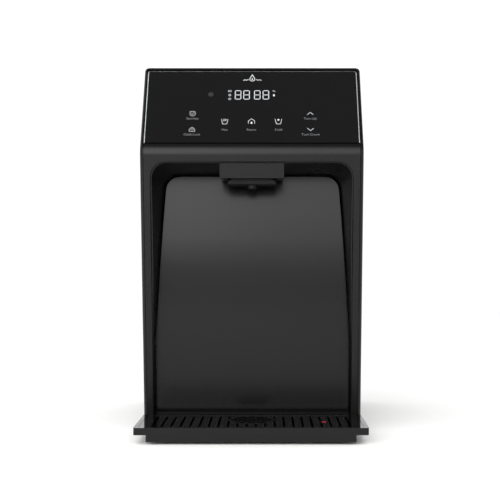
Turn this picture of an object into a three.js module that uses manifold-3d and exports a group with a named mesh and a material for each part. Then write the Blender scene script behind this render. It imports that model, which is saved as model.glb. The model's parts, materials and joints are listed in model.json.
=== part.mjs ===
// Countertop water dispenser: hot, cold and room-temperature water from one nozzle over a drip tray.
// Millimetres. X to the right, the front faces -Y, Z up, origin on the ground under the middle.
import * as THREE from "three";
import { mergeVertices } from "three/addons/utils/BufferGeometryUtils.js";
import Module from "manifold-3d";

const wasm = await Module();
wasm.setup();

// ---- Driving dimensions -------------------------------------------------------------------------
const width = 260; // over the side covers
const height = 436; // ground to top
const depth = 380; // drip tray lip to wall spacers
const trayReach = 58; // drip tray ahead of the shoulder
const footDrop = 2; // rubber feet below the base
const spacerReach = 12; // wall spacers behind the rear cover
const sideWall = 4; // side cover
const skin = 2.8; // front bezel, top cover and rear cover
const linerWall = 2.2; // alcove liner
const panelWall = 2; // splash panel
const seam = 0.4; // gap between neighbouring covers
const fit = 0.3; // gap between pieces that seat on each other

const leanDeg = 7.9; // front pillars, leaning in towards the foot
const glassDeg = 27.7; // control glass, leaning back from upright
const rollRadius = 24.6; // rounded shoulder between the two
const rollLowZ = 323.5; // where the shoulder starts to turn
const glassThick = 3;
const crownRadius = 5.5; // top edge above the glass
const glassDrop = 4.3; // top of the glass below the top of the dispenser
const rearRadius = 12; // top edge at the rear
const sideRound = 5; // rounding of the side covers' outer edges

const openingHalf = 118; // dispensing opening, half its width
const openingTopZ = 317;
const openingCorner = 18;
const alcoveDepth = 62; // shoulder to splash panel, at the ceiling
const ceilingDrop = 10.5; // ceiling, lower at the back by this
const wallTaper = 12.7; // side walls closing in at the back of the ceiling, each side
const taperFromZ = 105; // below this the side walls run straight back, above it they close in
const deckZ = 16; // liner floor behind the drip tray
const panelFoot = 62; // shoulder to the foot of the splash panel
const panelUndercutDeg = 3.8; // its foot leans forward
const panelTopDeg = 5.4; // its top leans back
const panelBendZ = 70; // the splash panel is flat below this and bowed above it
const panelGap = 2; // splash panel to the side walls

const trayTopZ = 18.5;
const trayLipHigh = 8;
const trayLift = 0.8; // drip tray above the base
const trayWall = 2.2;
const basinWidth = 233;
const trayCorner = 2.5;
const grilleThick = 2;
const grilleRim = 5; // tray edge left around the grille
const slotPitch = 10.5;
const slotWide = 2.6;
const slotLong = 77;
const slotField = 220.5; // width over the outer slots
const cellPitch = 10.4; // honeycomb of drain cells
const cellAcross = 8.4;
const cellRings = 2;
const floatX = 83;
const floatRadius = 2.3;

const nozzleWidth = 75;
const nozzleHigh = 18.6;
const nozzleDeep = 48;
const nozzleWall = 2.5;
const nozzleSetback = 1.2; // nozzle cover behind the pillars' face
const lipWidth = 59;
const lipDeep = 35;
const lipGap = 2; // shadow gap between the nozzle cover and its lip
const lipThick = 4.8;
const lipNeck = 4; // how far the lip's neck is set in
const lipLeanDeg = 24;
const shadowGroove = 1.4;
const spoutRadius = 6;
const spoutLow = 11.4; // nozzle tip below the nozzle cover
const lampX = 14;
const lampRadius = 3.5;

const deg = Math.PI / 180;
const frontY = -depth / 2;
const rearY = depth / 2;
const shoulderY = frontY + trayReach;
const rearFaceY = rearY - spacerReach;
const innerHalf = width / 2 - sideWall - seam; // half width of what sits between the side covers
const baseZ = footDrop;

// ---- Solids ---------------------------------------------------------------------------------------
function toSolid(geometry) {
  const bare = geometry.index ? geometry.toNonIndexed() : geometry.clone();
  bare.deleteAttribute("normal");
  bare.deleteAttribute("uv");
  const merged = mergeVertices(bare, 1e-4);
  const vertProperties = new Float32Array(merged.attributes.position.array);
  const triVerts = new Uint32Array(merged.index.array);
  return new wasm.Manifold(new wasm.Mesh({ numProp: 3, vertProperties, triVerts }));
}

function toGeometry(solid) {
  const mesh = solid.getMesh();
  const geometry = new THREE.BufferGeometry();
  geometry.setAttribute("position", new THREE.BufferAttribute(mesh.vertProperties, 3));
  geometry.setIndex(new THREE.BufferAttribute(mesh.triVerts, 1));
  return geometry;
}

function subtract(body, ...tools) {
  return toGeometry(tools.reduce((left, tool) => left.subtract(toSolid(tool)), toSolid(body)));
}

function unite(...bodies) {
  return toGeometry(bodies.map(toSolid).reduce((all, body) => all.add(body)));
}

function intersect(one, other) {
  return toGeometry(toSolid(one).intersect(toSolid(other)));
}

// ---- Plain shapes ---------------------------------------------------------------------------------
const at = (geometry, x, y, z) => geometry.translate(x, y, z);
const flat = (points) => points.map(([a, b]) => new THREE.Vector2(a, b));

function block(x0, x1, y0, y1, z0, z1) {
  const box = new THREE.BoxGeometry(x1 - x0, y1 - y0, z1 - z0);
  return at(box, (x0 + x1) / 2, (y0 + y1) / 2, (z0 + z1) / 2);
}

function extrude(outline, length, holes = []) {
  const shape = new THREE.Shape(outline);
  shape.holes = holes.map((hole) => new THREE.Path(hole));
  return new THREE.ExtrudeGeometry(shape, { depth: length, bevelEnabled: false, curveSegments: 6 });
}

// A (y, z) outline carried along X, an (x, z) outline along Y, and an (x, y) outline along Z.
function slabX(outline, x0, x1) {
  const turn = new THREE.Matrix4().set(0, 0, 1, x0, 1, 0, 0, 0, 0, 1, 0, 0, 0, 0, 0, 1);
  return extrude(outline, x1 - x0).applyMatrix4(turn);
}

function slabY(outline, y0, y1, holes) {
  return at(extrude(outline, y1 - y0, holes).rotateX(90 * deg), 0, y1, 0);
}

function slabZ(outline, z0, z1, holes) {
  return at(extrude(outline, z1 - z0, holes), 0, 0, z0);
}

function roundRect(cx, cy, wide, high, radius, steps = 4) {
  const points = [];
  const corners = [[1, 1, 0], [-1, 1, 90], [-1, -1, 180], [1, -1, 270]];
  for (const [sx, sy, start] of corners) {
    for (let i = 0; i <= steps; i += 1) {
      const angle = (start + (90 * i) / steps) * deg;
      const x = cx + sx * (wide / 2 - radius) + radius * Math.cos(angle);
      const y = cy + sy * (high / 2 - radius) + radius * Math.sin(angle);
      points.push(new THREE.Vector2(x, y));
    }
  }
  return points;
}

function circle(cx, cy, radius, steps = 24, turn = 0) {
  const points = [];
  for (let i = 0; i < steps; i += 1) {
    const angle = ((360 * i) / steps + turn) * deg;
    points.push(new THREE.Vector2(cx + radius * Math.cos(angle), cy + radius * Math.sin(angle)));
  }
  return points;
}

function rodZ(radius, z0, z1, x = 0, y = 0, sides = 24) {
  return slabZ(circle(x, y, radius, sides), z0, z1);
}

function rodY(radius, y0, y1, x = 0, z = 0, sides = 24) {
  return slabY(circle(x, z, radius, sides), y0, y1);
}

function turned(profile, x, y, sides = 24) {
  const lathe = new THREE.LatheGeometry(flat(profile), sides);
  return at(lathe.rotateX(90 * deg), x, y, 0);
}

function tube(points, radius, sides = 8, steps = 24) {
  const path = new THREE.CatmullRomCurve3(points.map(([x, y, z]) => new THREE.Vector3(x, y, z)));
  path.curveType = "centripetal";
  const section = new THREE.Shape(circle(0, 0, radius, sides));
  return new THREE.ExtrudeGeometry(section, { steps, extrudePath: path });
}

// A closed skin through equal rings of points; `plane` names the two axes that flatten an end cap.
function loft(sections, plane) {
  const flatten = (ring) => ring.map((p) => new THREE.Vector2(p[plane[0]], p[plane[1]]));
  const clockwise = THREE.ShapeUtils.isClockWise(flatten(sections[0]));
  const rings = clockwise ? sections.map((ring) => [...ring].reverse()) : sections;
  const count = rings[0].length;
  const position = rings.flat().flatMap((p) => [p.x, p.y, p.z]);
  const index = [];
  for (let r = 0; r + 1 < rings.length; r += 1) {
    for (let i = 0; i < count; i += 1) {
      const a = r * count + i;
      const b = r * count + ((i + 1) % count);
      index.push(a, b, b + count, a, b + count, a + count);
    }
  }
  const capFaces = (ring) => THREE.ShapeUtils.triangulateShape(flatten(ring), []);
  const last = (rings.length - 1) * count;
  capFaces(rings[0]).forEach(([a, b, c]) => index.push(a, c, b));
  capFaces(rings.at(-1)).forEach(([a, b, c]) => index.push(last + a, last + b, last + c));
  const geometry = new THREE.BufferGeometry();
  geometry.setAttribute("position", new THREE.Float32BufferAttribute(position, 3));
  geometry.setIndex(index);
  return toSolid(geometry).volume() > 0 ? geometry : turnedOut(geometry);
}

function turnedOut(geometry) {
  const index = geometry.index.array;
  for (let i = 0; i < index.length; i += 3) {
    [index[i + 1], index[i + 2]] = [index[i + 2], index[i + 1]];
  }
  return geometry;
}

// ---- Side view ------------------------------------------------------------------------------------
const rollCentre = { y: shoulderY + rollRadius, z: rollLowZ + rollRadius * Math.sin(leanDeg * deg) };
const glassDir = { y: Math.sin(glassDeg * deg), z: Math.cos(glassDeg * deg) };

function arc(cy, cz, radius, from, to, steps) {
  const points = [];
  for (let i = 0; i <= steps; i += 1) {
    const angle = (from + ((to - from) * i) / steps) * deg;
    points.push([cy - radius * Math.cos(angle), cz + radius * Math.sin(angle)]);
  }
  return points;
}

// The leaning pillar line, set back from the outer face by `inset`.
function pillarY(z, inset = 0) {
  const lean = leanDeg * deg;
  const startY = rollCentre.y - rollRadius * Math.cos(lean);
  return startY + (rollLowZ - z) * Math.tan(lean) + inset / Math.cos(lean);
}

const shoulder = (inset) => arc(rollCentre.y, rollCentre.z, rollRadius - inset, -leanDeg, glassDeg, 10);

// A point on the glass plane at height z, set back by `inset`.
function glassY(z, inset = 0) {
  const [y0, z0] = shoulder(0).at(-1);
  return y0 + (z - z0) * Math.tan(glassDeg * deg) + inset / Math.cos(glassDeg * deg);
}

// Centre of the small arc that turns the glass plane into the flat top.
function crownCentre() {
  const z = height - crownRadius;
  const tilt = glassDeg * deg;
  return { y: glassY(z) + crownRadius / Math.cos(tilt), z };
}

function sideOutline(inset) {
  const crown = crownCentre();
  const points = [[pillarY(baseZ + inset, inset), baseZ + inset]];
  points.push(...shoulder(inset));
  points.push(...arc(crown.y, crown.z, crownRadius - inset, glassDeg, 90, 4));
  const rear = { y: rearFaceY - rearRadius, z: height - rearRadius };
  points.push(...arc(rear.y, rear.z, rearRadius - inset, 90, 180, 5));
  points.push([rearFaceY - inset, baseZ + inset]);
  return points;
}

// ---- Alcove ---------------------------------------------------------------------------------------
// The splash panel's face in side view, from its foot to the ceiling, set back by `inset`.
function panelCurve(inset, topZ) {
  const under = panelUndercutDeg * deg;
  const top = panelTopDeg * deg;
  const ceilingZ = openingTopZ - ceilingDrop;
  const radius = (ceilingZ - panelBendZ) / (Math.sin(under) + Math.sin(top));
  const footY = shoulderY + panelFoot;
  const bendY = footY - (panelBendZ - deckZ) * Math.tan(under);
  const centre = { y: bendY + radius * Math.cos(under), z: panelBendZ + radius * Math.sin(under) };
  const bowed = arc(centre.y, centre.z, radius - inset, -panelUndercutDeg, panelTopDeg, 9);
  const last = bowed.at(-1);
  const low = [footY + inset + (deckZ - baseZ) * Math.tan(under), baseZ];
  return [low, ...bowed, [last[0] + (topZ - last[1]) * Math.tan(top), topZ]];
}

const wallSteps = 6; // points up each side wall
const depthSteps = 12; // cross-sections from front to back, so that the twisted walls stay smooth

// The alcove's cross-section at depth y, wider all round by `grow`.
function alcoveSection(y, grow) {
  const share = (y - shoulderY) / alcoveDepth;
  const topZ = openingTopZ - ceilingDrop * share;
  const corner = openingCorner + grow;
  const cornerZ = topZ + grow - corner;
  const taperAt = (z) => (wallTaper * (z - taperFromZ)) / (openingTopZ - ceilingDrop - taperFromZ);
  const left = [[-openingHalf - grow, baseZ - 30]];
  for (let i = 0; i < wallSteps; i += 1) {
    const z = taperFromZ + ((cornerZ - taperFromZ) * i) / wallSteps;
    left.push([-openingHalf - grow + taperAt(z) * share, z]);
  }
  const wallX = -openingHalf - grow + taperAt(cornerZ) * share;
  left.push(...arc(wallX + corner, cornerZ, corner, 0, 90, 5));
  const right = left.map(([x, z]) => [-x, z]).reverse();
  return [...left, ...right].map(([x, z]) => new THREE.Vector3(x, y, z));
}

function alcoveSolid(grow, frontInset, backInset, floorZ) {
  const sections = [];
  for (let i = 0; i <= depthSteps; i += 1) {
    sections.push(alcoveSection(shoulderY - 40 + (150 * i) / depthSteps, grow));
  }
  const tunnel = loft(sections, "xz");
  const back = panelCurve(backInset, height);
  const outline = [[pillarY(floorZ, frontInset), floorZ], [pillarY(height, frontInset), height]];
  const behind = back.filter(([, z]) => z > floorZ).reverse();
  outline.push(...behind, [back[0][0], floorZ]);
  return intersect(tunnel, slabX(flat(outline), -width, width));
}

// ---- Covers ---------------------------------------------------------------------------------------
// Its outer edge is rounded by more than the wall, so that the arc ends on the inner plane.
function sideCover(side) {
  const rings = [];
  const outer = width / 2;
  const steps = 4;
  const start = Math.asin(1 - sideWall / sideRound);
  for (let i = steps; i >= 0; i -= 1) {
    const angle = start + ((90 * deg - start) * i) / steps;
    const x = outer - sideRound * (1 - Math.sin(angle));
    rings.push({ x, inset: sideRound * (1 - Math.cos(angle)) });
  }
  const place = ({ x, inset }) => sideOutline(inset).map(([y, z]) => new THREE.Vector3(side * x, y, z));
  return loft(rings.map(place), "yz");
}

const glassLowZ = shoulder(0).at(-1)[1] + 3 * seam;
const glassHighZ = height - glassDrop;

function frontBezel() {
  const lowZ = baseZ + seam;
  const outer = [[pillarY(lowZ), lowZ], ...shoulder(0)];
  const inner = [[pillarY(lowZ, skin), lowZ], ...shoulder(skin)].reverse();
  const strip = slabX(flat([...outer, ...inner]), -innerHalf, innerHalf);
  const opening = roundRect(0, 0, 2 * openingHalf, 2 * openingTopZ, openingCorner, 5);
  const ledge = ledgeUnderGlass();
  return subtract(unite(strip, ledge), slabY(opening, shoulderY - 60, shoulderY + 100));
}

// A shelf behind the shoulder that carries the lower edge of the glass carrier.
function ledgeUnderGlass() {
  const [y, z] = shoulder(skin).at(-1);
  const outline = [[y - 3.5, z - 6], [y + 6, z - 6], [y + 6, z - 3.5], [y - 2.5, z - 3.5]];
  return slabX(flat(outline), -innerHalf, innerHalf);
}

function topCover() {
  const crown = crownCentre();
  const lowZ = glassHighZ + 2 * fit;
  const rear = { y: rearFaceY - rearRadius, z: height - rearRadius };
  const outer = arc(crown.y, crown.z, crownRadius, glassDeg, 90, 4);
  outer.push(...arc(rear.y, rear.z, rearRadius, 90, 180, 5));
  const inner = arc(rear.y, rear.z, rearRadius - skin, 180, 90, 5);
  inner.push(...arc(crown.y, crown.z, crownRadius - skin, 90, glassDeg, 2));
  const outline = [[glassY(lowZ), lowZ], ...outer, ...inner, [glassY(lowZ, skin), lowZ]];
  return slabX(flat(outline), -innerHalf, innerHalf);
}

const fanX = 58;
const fanZ = 100;
const fanRadius = 44;
const louvreRows = 12;
const louvrePitch = 16;
const louvreLowZ = 200;
const louvreX = 60;
const louvreWide = 84;
const louvreHigh = 5;
const fanSlots = 9;
const fanSlotPitch = 10;
const inletX = -88;
const inletZ = 40;
const switchX = [-100, -78];
const switchZ = 96;
const drainX = [-14, 14];
const drainZ = 34;
const waterX = -44;
const waterZ = 34;
const inletWide = 28;
const inletHigh = 20;
const switchWide = 15;
const switchHigh = 21;
const rockerWide = 12.6;
const rockerHigh = 18.6;
const drainRadius = 6;
const waterRadius = 8;

const throughRear = (outline) => slabY(outline, rearFaceY - 20, rearFaceY + 20);

// Two columns of air slots, and shorter slots over the fan that fill a circle.
function louvres() {
  const slots = [];
  for (const side of [-1, 1]) {
    for (let i = 0; i < louvreRows; i += 1) {
      const z = louvreLowZ + i * louvrePitch;
      slots.push(throughRear(roundRect(side * louvreX, z, louvreWide, louvreHigh, 2.4, 2)));
    }
  }
  for (let i = 0; i < fanSlots; i += 1) {
    const z = fanZ + fanSlotPitch * (i - (fanSlots - 1) / 2);
    const chord = 2 * Math.sqrt(fanRadius ** 2 - (z - fanZ) ** 2) - 4;
    slots.push(throughRear(roundRect(fanX, z, chord, 6, 2.9, 2)));
  }
  return slots;
}

function rearCover() {
  const [lowZ, highZ] = [baseZ + seam, height - rearRadius - seam];
  const plate = block(-innerHalf, innerHalf, rearFaceY - skin, rearFaceY, lowZ, highZ);
  const holes = louvres();
  const socket = roundRect(inletX, inletZ, inletWide + 2 * fit, inletHigh + 2 * fit, 0.2, 2);
  holes.push(throughRear(socket));
  for (const x of switchX) {
    const outline = roundRect(x, switchZ, switchWide + 2 * fit, switchHigh + 2 * fit, 0.2, 2);
    holes.push(throughRear(outline));
  }
  drainX.forEach((x) => holes.push(throughRear(circle(x, drainZ, drainRadius + fit))));
  holes.push(throughRear(circle(waterX, waterZ, waterRadius + fit)));
  return subtract(plate, ...holes);
}

const tongueX = [-70, 70]; // tongues at the back of the drip tray, sliding over the base pan
const tongueWide = 30;
const tongueThick = 2.5;
const tongueZ = baseZ + 3 + 2 * fit;

const panThick = 3;
const panRim = 14;
const intakeSlots = 8;

// A floor with a rim up each side, an upstand that the tray's tongues pass through, and air slots.
function basePan() {
  const frontEdge = pillarY(baseZ) + 1;
  const panEdge = pillarY(baseZ + panRim, skin) + 5 * seam;
  const backEdge = rearFaceY - skin - seam;
  const pan = block(-innerHalf, innerHalf, panEdge, backEdge, baseZ, baseZ + panThick);
  const rims = [-innerHalf, innerHalf - panThick].map((x) =>
    block(x, x + panThick, panEdge, backEdge, baseZ + 2, baseZ + panRim));
  const half = openingHalf - 1;
  const upstand = block(-half, half, frontEdge, frontEdge + 4, baseZ, deckZ - linerWall - seam);
  const cuts = tongueX.map((x) => {
    const reach = tongueWide / 2 + fit;
    const [lowZ, highZ] = [tongueZ - fit, tongueZ + tongueThick + 2 * fit];
    return block(x - reach, x + reach, frontEdge - 5, frontEdge + 9, lowZ, highZ);
  });
  for (let i = 0; i < intakeSlots; i += 1) {
    cuts.push(slabZ(roundRect(40 + i * 8, 60, 3.5, 60, 1.6, 2), baseZ - 5, baseZ + 9));
  }
  return subtract(unite(pan, ...rims, upstand), ...cuts);
}

function alcoveLiner() {
  const outside = alcoveSolid(linerWall, skin + seam, panelWall + 4 + linerWall, deckZ - linerWall);
  const inside = alcoveSolid(0, -50, panelWall + 4, deckZ);
  const throat = block(-34, 34, shoulderY + 8, shoulderY + 46, openingTopZ - 30, openingTopZ + 30);
  return subtract(outside, inside, throat);
}

function splashPanel() {
  const face = alcoveSolid(-panelGap, -50, panelWall, deckZ + fit);
  const behind = alcoveSolid(10, -60, 0, deckZ - 20);
  return subtract(face, behind);
}

// ---- Control panel --------------------------------------------------------------------------------
// Pieces of the control panel are drawn lying flat, then turned onto the slope of the glass.
function onSlope(geometry, alongZ) {
  const y = glassY(alongZ);
  return at(geometry.rotateX(-glassDeg * deg), 0, y, alongZ);
}

const glassSlope = (glassHighZ - glassLowZ) / glassDir.z;

function slopeBlock(halfWide, low, high, front, back, x = 0) {
  return onSlope(block(x - halfWide, x + halfWide, front, back, low, high), glassLowZ);
}

const controlGlass = () => slopeBlock(innerHalf, 0, glassSlope, 0, glassThick);

function panelCarrier() {
  const front = glassThick + fit;
  const plate = slopeBlock(innerHalf, 0.5, glassSlope - 2, front, front + 2.5);
  const window = slopeBlock(34, 56, 78, front - 5, front + 9);
  return subtract(plate, window);
}

const touchBoard = () => slopeBlock(100, 12, 52, glassThick + 2.5 + 2 * fit, glassThick + 4.1 + 2 * fit);
const displayModule = () => slopeBlock(33, 57, 77, glassThick + fit, glassThick + fit + 8);

// ---- Dispensing head ------------------------------------------------------------------------------
const headTopZ = openingTopZ + 4;
const headLowZ = openingTopZ - nozzleHigh;
const spoutY = shoulderY + 24;
const spoutTipZ = headLowZ - spoutLow;
const lipFrontY = shoulderY + 8.6;

// A box open above and behind, with a mouth for the lip. Its front leans with the pillars.
function nozzleCover() {
  const back = shoulderY + nozzleSetback + nozzleDeep;
  const outer = roundRect(0, (headTopZ + headLowZ) / 2, nozzleWidth, headTopZ - headLowZ, 3.2, 3);
  const shell = slabY(outer, shoulderY - 5, back);
  const [lowZ, highZ] = [headLowZ - 5, headTopZ + 5];
  const face = [[pillarY(lowZ, nozzleSetback), lowZ], [pillarY(highZ, nozzleSetback), highZ]];
  const ahead = slabX(flat([...face, [shoulderY - 30, highZ], [shoulderY - 30, lowZ]]), -width, width);
  const roomY = pillarY(headLowZ, nozzleSetback + nozzleWall);
  const half = nozzleWidth / 2 - 2 * nozzleWall;
  const room = block(-half, half, roomY, back + 5, headLowZ + nozzleWall, headTopZ + 5);
  const mouthHalf = lipWidth / 2 - lipNeck + fit;
  const mouthY0 = lipFrontY + lipNeck - fit;
  const mouthY1 = lipFrontY + lipDeep - lipNeck + fit;
  const mouth = block(-mouthHalf, mouthHalf, mouthY0, mouthY1, headLowZ - 5, headLowZ + 5);
  const grooveY = pillarY(openingTopZ, nozzleSetback) + shadowGroove;
  const groove = block(-width, width, shoulderY - 30, grooveY, openingTopZ - shadowGroove, openingTopZ + 0.6);
  const [y0, y1] = [shoulderY - 30, back + 5];
  const above = [[y0, ceilingAt(y0)], [y1, ceilingAt(y1)], [y1, headTopZ + 30], [y0, headTopZ + 30]];
  const skyline = slabX(flat(above), -nozzleWidth, nozzleWidth);
  return subtract(shell, ahead, room, mouth, groove, skyline);
}

function ceilingAt(y) {
  return openingTopZ - (ceilingDrop * (y - shoulderY)) / alcoveDepth - fit;
}

// A plate under a neck that plugs into the cover's mouth. The plate's front leans under.
function nozzleLip() {
  const midY = lipFrontY + lipDeep / 2;
  const [lowZ, highZ] = [headLowZ - lipGap - lipThick, headLowZ - lipGap];
  const plate = slabZ(roundRect(0, midY, lipWidth, lipDeep, 6, 3), lowZ, highZ);
  const under = lipFrontY + lipThick * Math.tan(lipLeanDeg * deg);
  const front = flat([[lipFrontY, highZ - 0.6], [under, lowZ], [under, lowZ - 5], [lipFrontY - 5, lowZ - 5]]);
  const ahead = slabX(front, -width, width);
  const neckOutline = roundRect(0, midY, lipWidth - 2 * lipNeck, lipDeep - 2 * lipNeck, 3, 3);
  const neck = slabZ(neckOutline, highZ - 1, headLowZ + nozzleWall - fit);
  const outer = subtract(unite(plate, neck), ahead);
  const hole = rodZ(spoutRadius + fit, headLowZ - 20, headLowZ + 20, 0, spoutY);
  const lamp = rodZ(lampRadius + fit, headLowZ - 20, headLowZ + 20, lampX, spoutY);
  return subtract(outer, hole, lamp);
}

function outletNozzle() {
  const profile = [[2.4, 0], [spoutRadius - 1, 0], [spoutRadius, 2], [spoutRadius, 24]];
  profile.push([4.6, 24], [4.6, 40], [2.4, 40], [2.4, 0]);
  return at(turned(profile, 0, 0, 20), 0, spoutY, spoutTipZ);
}

const uvLamp = () => rodZ(lampRadius, headLowZ - lipGap - 3.4, headLowZ + 2, lampX, spoutY, 16);

// ---- Drip tray ------------------------------------------------------------------------------------
const trayBackY = pillarY(trayTopZ) - seam;
const trayMidY = (frontY + trayBackY) / 2;
const trayDeep = trayBackY - frontY;
const grilleWide = width - 2 * grilleRim;
const grilleDeep = trayDeep - 2 * grilleRim;
const basinFloorZ = baseZ + trayLift + 1.4;
const clusterY = shoulderY + 3;
const floatY = shoulderY - 13;

function dripTray() {
  const plate = slabZ(roundRect(0, trayMidY, width, trayDeep, trayCorner), trayTopZ - trayLipHigh, trayTopZ);
  const box = slabZ(roundRect(0, trayMidY, basinWidth, trayDeep, trayCorner), baseZ + trayLift, trayTopZ - 1);
  const pocket = slabZ(
    roundRect(0, trayMidY, grilleWide + 2 * fit, grilleDeep + 2 * fit, 2),
    trayTopZ - grilleThick - fit,
    trayTopZ + 5,
  );
  const basin = slabZ(
    roundRect(0, trayMidY, basinWidth - 2 * trayWall - 4, grilleDeep - 6, 6),
    basinFloorZ,
    trayTopZ + 5,
  );
  const wingHollow = [-1, 1].map((side) => {
    const inner = basinWidth / 2 + 1;
    const outer = width / 2 - 2;
    const [a, b] = side < 0 ? [-outer, -inner] : [inner, outer];
    const lowZ = trayTopZ - trayLipHigh - 5;
    return block(a, b, frontY + 3, trayBackY - 3, lowZ, trayTopZ - grilleThick - 2);
  });
  const tongues = tongueX.map((x) =>
    slabZ(roundRect(x, trayBackY + 6, tongueWide, 32, 2), tongueZ, tongueZ + tongueThick));
  return subtract(unite(plate, box, ...tongues), pocket, basin, ...wingHollow);
}

function dripGrille() {
  const holes = [];
  const high = trayTopZ + 5;
  const low = trayTopZ - grilleThick - 5;
  const clusterRadius = cellPitch * (cellRings + 0.5);
  const slotMidY = trayMidY - 3;
  const columns = Math.round(slotField / slotPitch);
  for (let i = 0; i <= columns; i += 1) {
    const x = -slotField / 2 + (i * slotField) / columns;
    const nearFloat = Math.abs(x - floatX) < slotPitch / 2;
    const spare = Math.max(0, clusterRadius ** 2 - x ** 2);
    const blocked = Math.abs(x) < clusterRadius + 1 ? Math.max(5, Math.sqrt(spare) + 3) : 0;
    const stretches = splitSlot(slotMidY, nearFloat, blocked);
    for (const [y0, y1] of stretches) {
      holes.push(slabZ(roundRect(x, (y0 + y1) / 2, slotWide, y1 - y0, slotWide / 2 - 0.05, 2), low, high));
    }
  }
  for (const [x, y] of honeycomb()) {
    holes.push(slabZ(circle(x, clusterY + y, cellAcross / Math.sqrt(3), 6, 30), low, high));
  }
  holes.push(rodZ(floatRadius + 0.6, low, high, floatX, floatY, 16));
  const plate = roundRect(0, trayMidY, grilleWide, grilleDeep, 1.8);
  return subtract(slabZ(plate, trayTopZ - grilleThick, trayTopZ - 0.2), ...holes);
}

// A slot stops short of the honeycomb and of the float hole.
function splitSlot(middle, nearFloat, blocked) {
  const y0 = middle - slotLong / 2;
  const y1 = middle + slotLong / 2;
  const clear = 1.8;
  if (nearFloat) {
    const gap = floatRadius + clear + 2;
    return [[y0, floatY - gap], [floatY + gap, y1]];
  }
  if (!blocked) {
    return [[y0, y1]];
  }
  const parts = [[y0, clusterY - blocked - clear], [clusterY + blocked + clear, y1]];
  return parts.filter(([a, b]) => b - a > slotWide * 1.5);
}

function honeycomb() {
  const cells = [];
  for (let q = -cellRings; q <= cellRings; q += 1) {
    for (let r = -cellRings; r <= cellRings; r += 1) {
      if (Math.abs(q + r) <= cellRings) {
        cells.push([cellPitch * (q + r / 2), (cellPitch * r * Math.sqrt(3)) / 2]);
      }
    }
  }
  return cells;
}

function floatIndicator() {
  const stem = rodZ(floatRadius, basinFloorZ + 3, trayTopZ + 0.2, floatX, floatY, 16);
  const disc = rodZ(8, basinFloorZ + fit, basinFloorZ + 5, floatX, floatY, 20);
  return unite(stem, disc);
}

// ---- Feet and spacers -----------------------------------------------------------------------------
const footX = 100;
const footFrontY = -48;
const footRearY = rearFaceY - 24;
const foot = (x, y) => rodZ(11, 0, baseZ, x, y, 24);

function wallSpacer(side) {
  const x = side * 96;
  const outline = roundRect(x, 408, 34, 16, 5, 3);
  return slabY(outline, rearFaceY + fit, rearY);
}

// ---- Cooling --------------------------------------------------------------------------------------
const pumpX = -52;
const pumpY = 78;
const pumpRadius = 52;
const pumpLowZ = 24;

function compressor() {
  const profile = [[0, 0], [38, 0], [48, 8], [pumpRadius, 20], [pumpRadius, 70], [54, 72], [54, 76]];
  profile.push([pumpRadius, 78], [48, 104], [34, 118], [0, 124]);
  const can = at(turned(profile, 0, 0, 28), pumpX, pumpY, pumpLowZ);
  const plate = block(pumpX - 62, pumpX + 62, pumpY - 40, pumpY + 40, pumpLowZ - 3, pumpLowZ + 1);
  const bolts = grommetSpots().map(([x, y]) => rodZ(4 + fit, pumpLowZ - 9, pumpLowZ + 9, x, y, 12));
  return subtract(unite(can, plate), ...bolts);
}

function grommetSpots() {
  return [[-54, -32], [54, -32], [54, 32], [-54, 32]].map(([x, y]) => [pumpX + x, pumpY + y]);
}

// Four rubber posts on one mat carry the compressor's plate.
function compressorMount() {
  const low = baseZ + 3 + fit;
  const high = pumpLowZ - 3 - fit;
  const mat = block(pumpX - 62, pumpX + 62, pumpY - 40, pumpY + 40, low, low + 2);
  const posts = grommetSpots().flatMap(([x, y]) => [
    rodZ(8, low + 1, high, x, y, 16),
    rodZ(4, high - 1, pumpLowZ + 4, x, y, 12),
  ]);
  return unite(mat, ...posts);
}

const fanY = rearFaceY - 28;

// A tube folded to and fro in front of the fan.
function condenserCoil() {
  const points = [];
  const rows = 7;
  const [x0, x1] = [fanX - 38, fanX + 38];
  const y = fanY - 18;
  const rowPitch = 14;
  for (let i = 0; i < rows; i += 1) {
    const z = fanZ + rowPitch * (i - (rows - 1) / 2);
    const [a, b] = i % 2 ? [x1, x0] : [x0, x1];
    points.push([a, y, z], [(a + b) / 2, y, z], [b, y, z]);
    if (i + 1 < rows) {
      points.push([b + (b > a ? 6 : -6), y, z + rowPitch / 2]);
    }
  }
  return tube(points, 2.4, 6, 84);
}


// A plate with a duct round the rotor, and the motor's seat on three arms.
function fanShroud() {
  const inside = circle(fanX, fanZ, fanRadius, 32);
  const plate = slabY(roundRect(fanX, fanZ, 100, 100, 8, 3), fanY - 4, fanY, [inside]);
  const ring = slabY(circle(fanX, fanZ, fanRadius + 2, 32), fanY - 1, fanY + 20, [inside]);
  const arms = [];
  for (let i = 0; i < 3; i += 1) {
    const arm = block(10, 45, fanY - 4, fanY - 1, -2.5, 2.5).rotateY(120 * i * deg);
    arms.push(at(arm, fanX, 0, fanZ));
  }
  const seat = rodY(14, fanY - 4, fanY + 5, fanX, fanZ, 20);
  return unite(plate, ring, seat, ...arms);
}

function fanRotor() {
  const blades = [];
  const count = 7;
  for (let i = 0; i < count; i += 1) {
    const blade = at(new THREE.BoxGeometry(27, 1.6, 20).rotateX(38 * deg), 28, 0, 0);
    blades.push(at(blade.rotateY(((360 * i) / count) * deg), fanX, fanY + 11, fanZ));
  }
  const hub = rodY(16, fanY + 5 + fit, fanY + 17, fanX, fanZ, 20);
  return unite(hub, ...blades);
}

function filterDrier() {
  const profile = [[0, 0], [3, 0], [3, 8], [9, 14], [9, 60], [3, 66], [3, 74], [0, 74]];
  return at(turned(profile, 0, 0, 14), 112, 96, 40);
}

// ---- Cold side ------------------------------------------------------------------------------------
const coldX = 55;
const coldY = 40;
const coldLowZ = 196;
const coldRadius = 48;
const coldHigh = 140;
const coilRadius = 2.5;
const foamOuter = 64;

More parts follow.
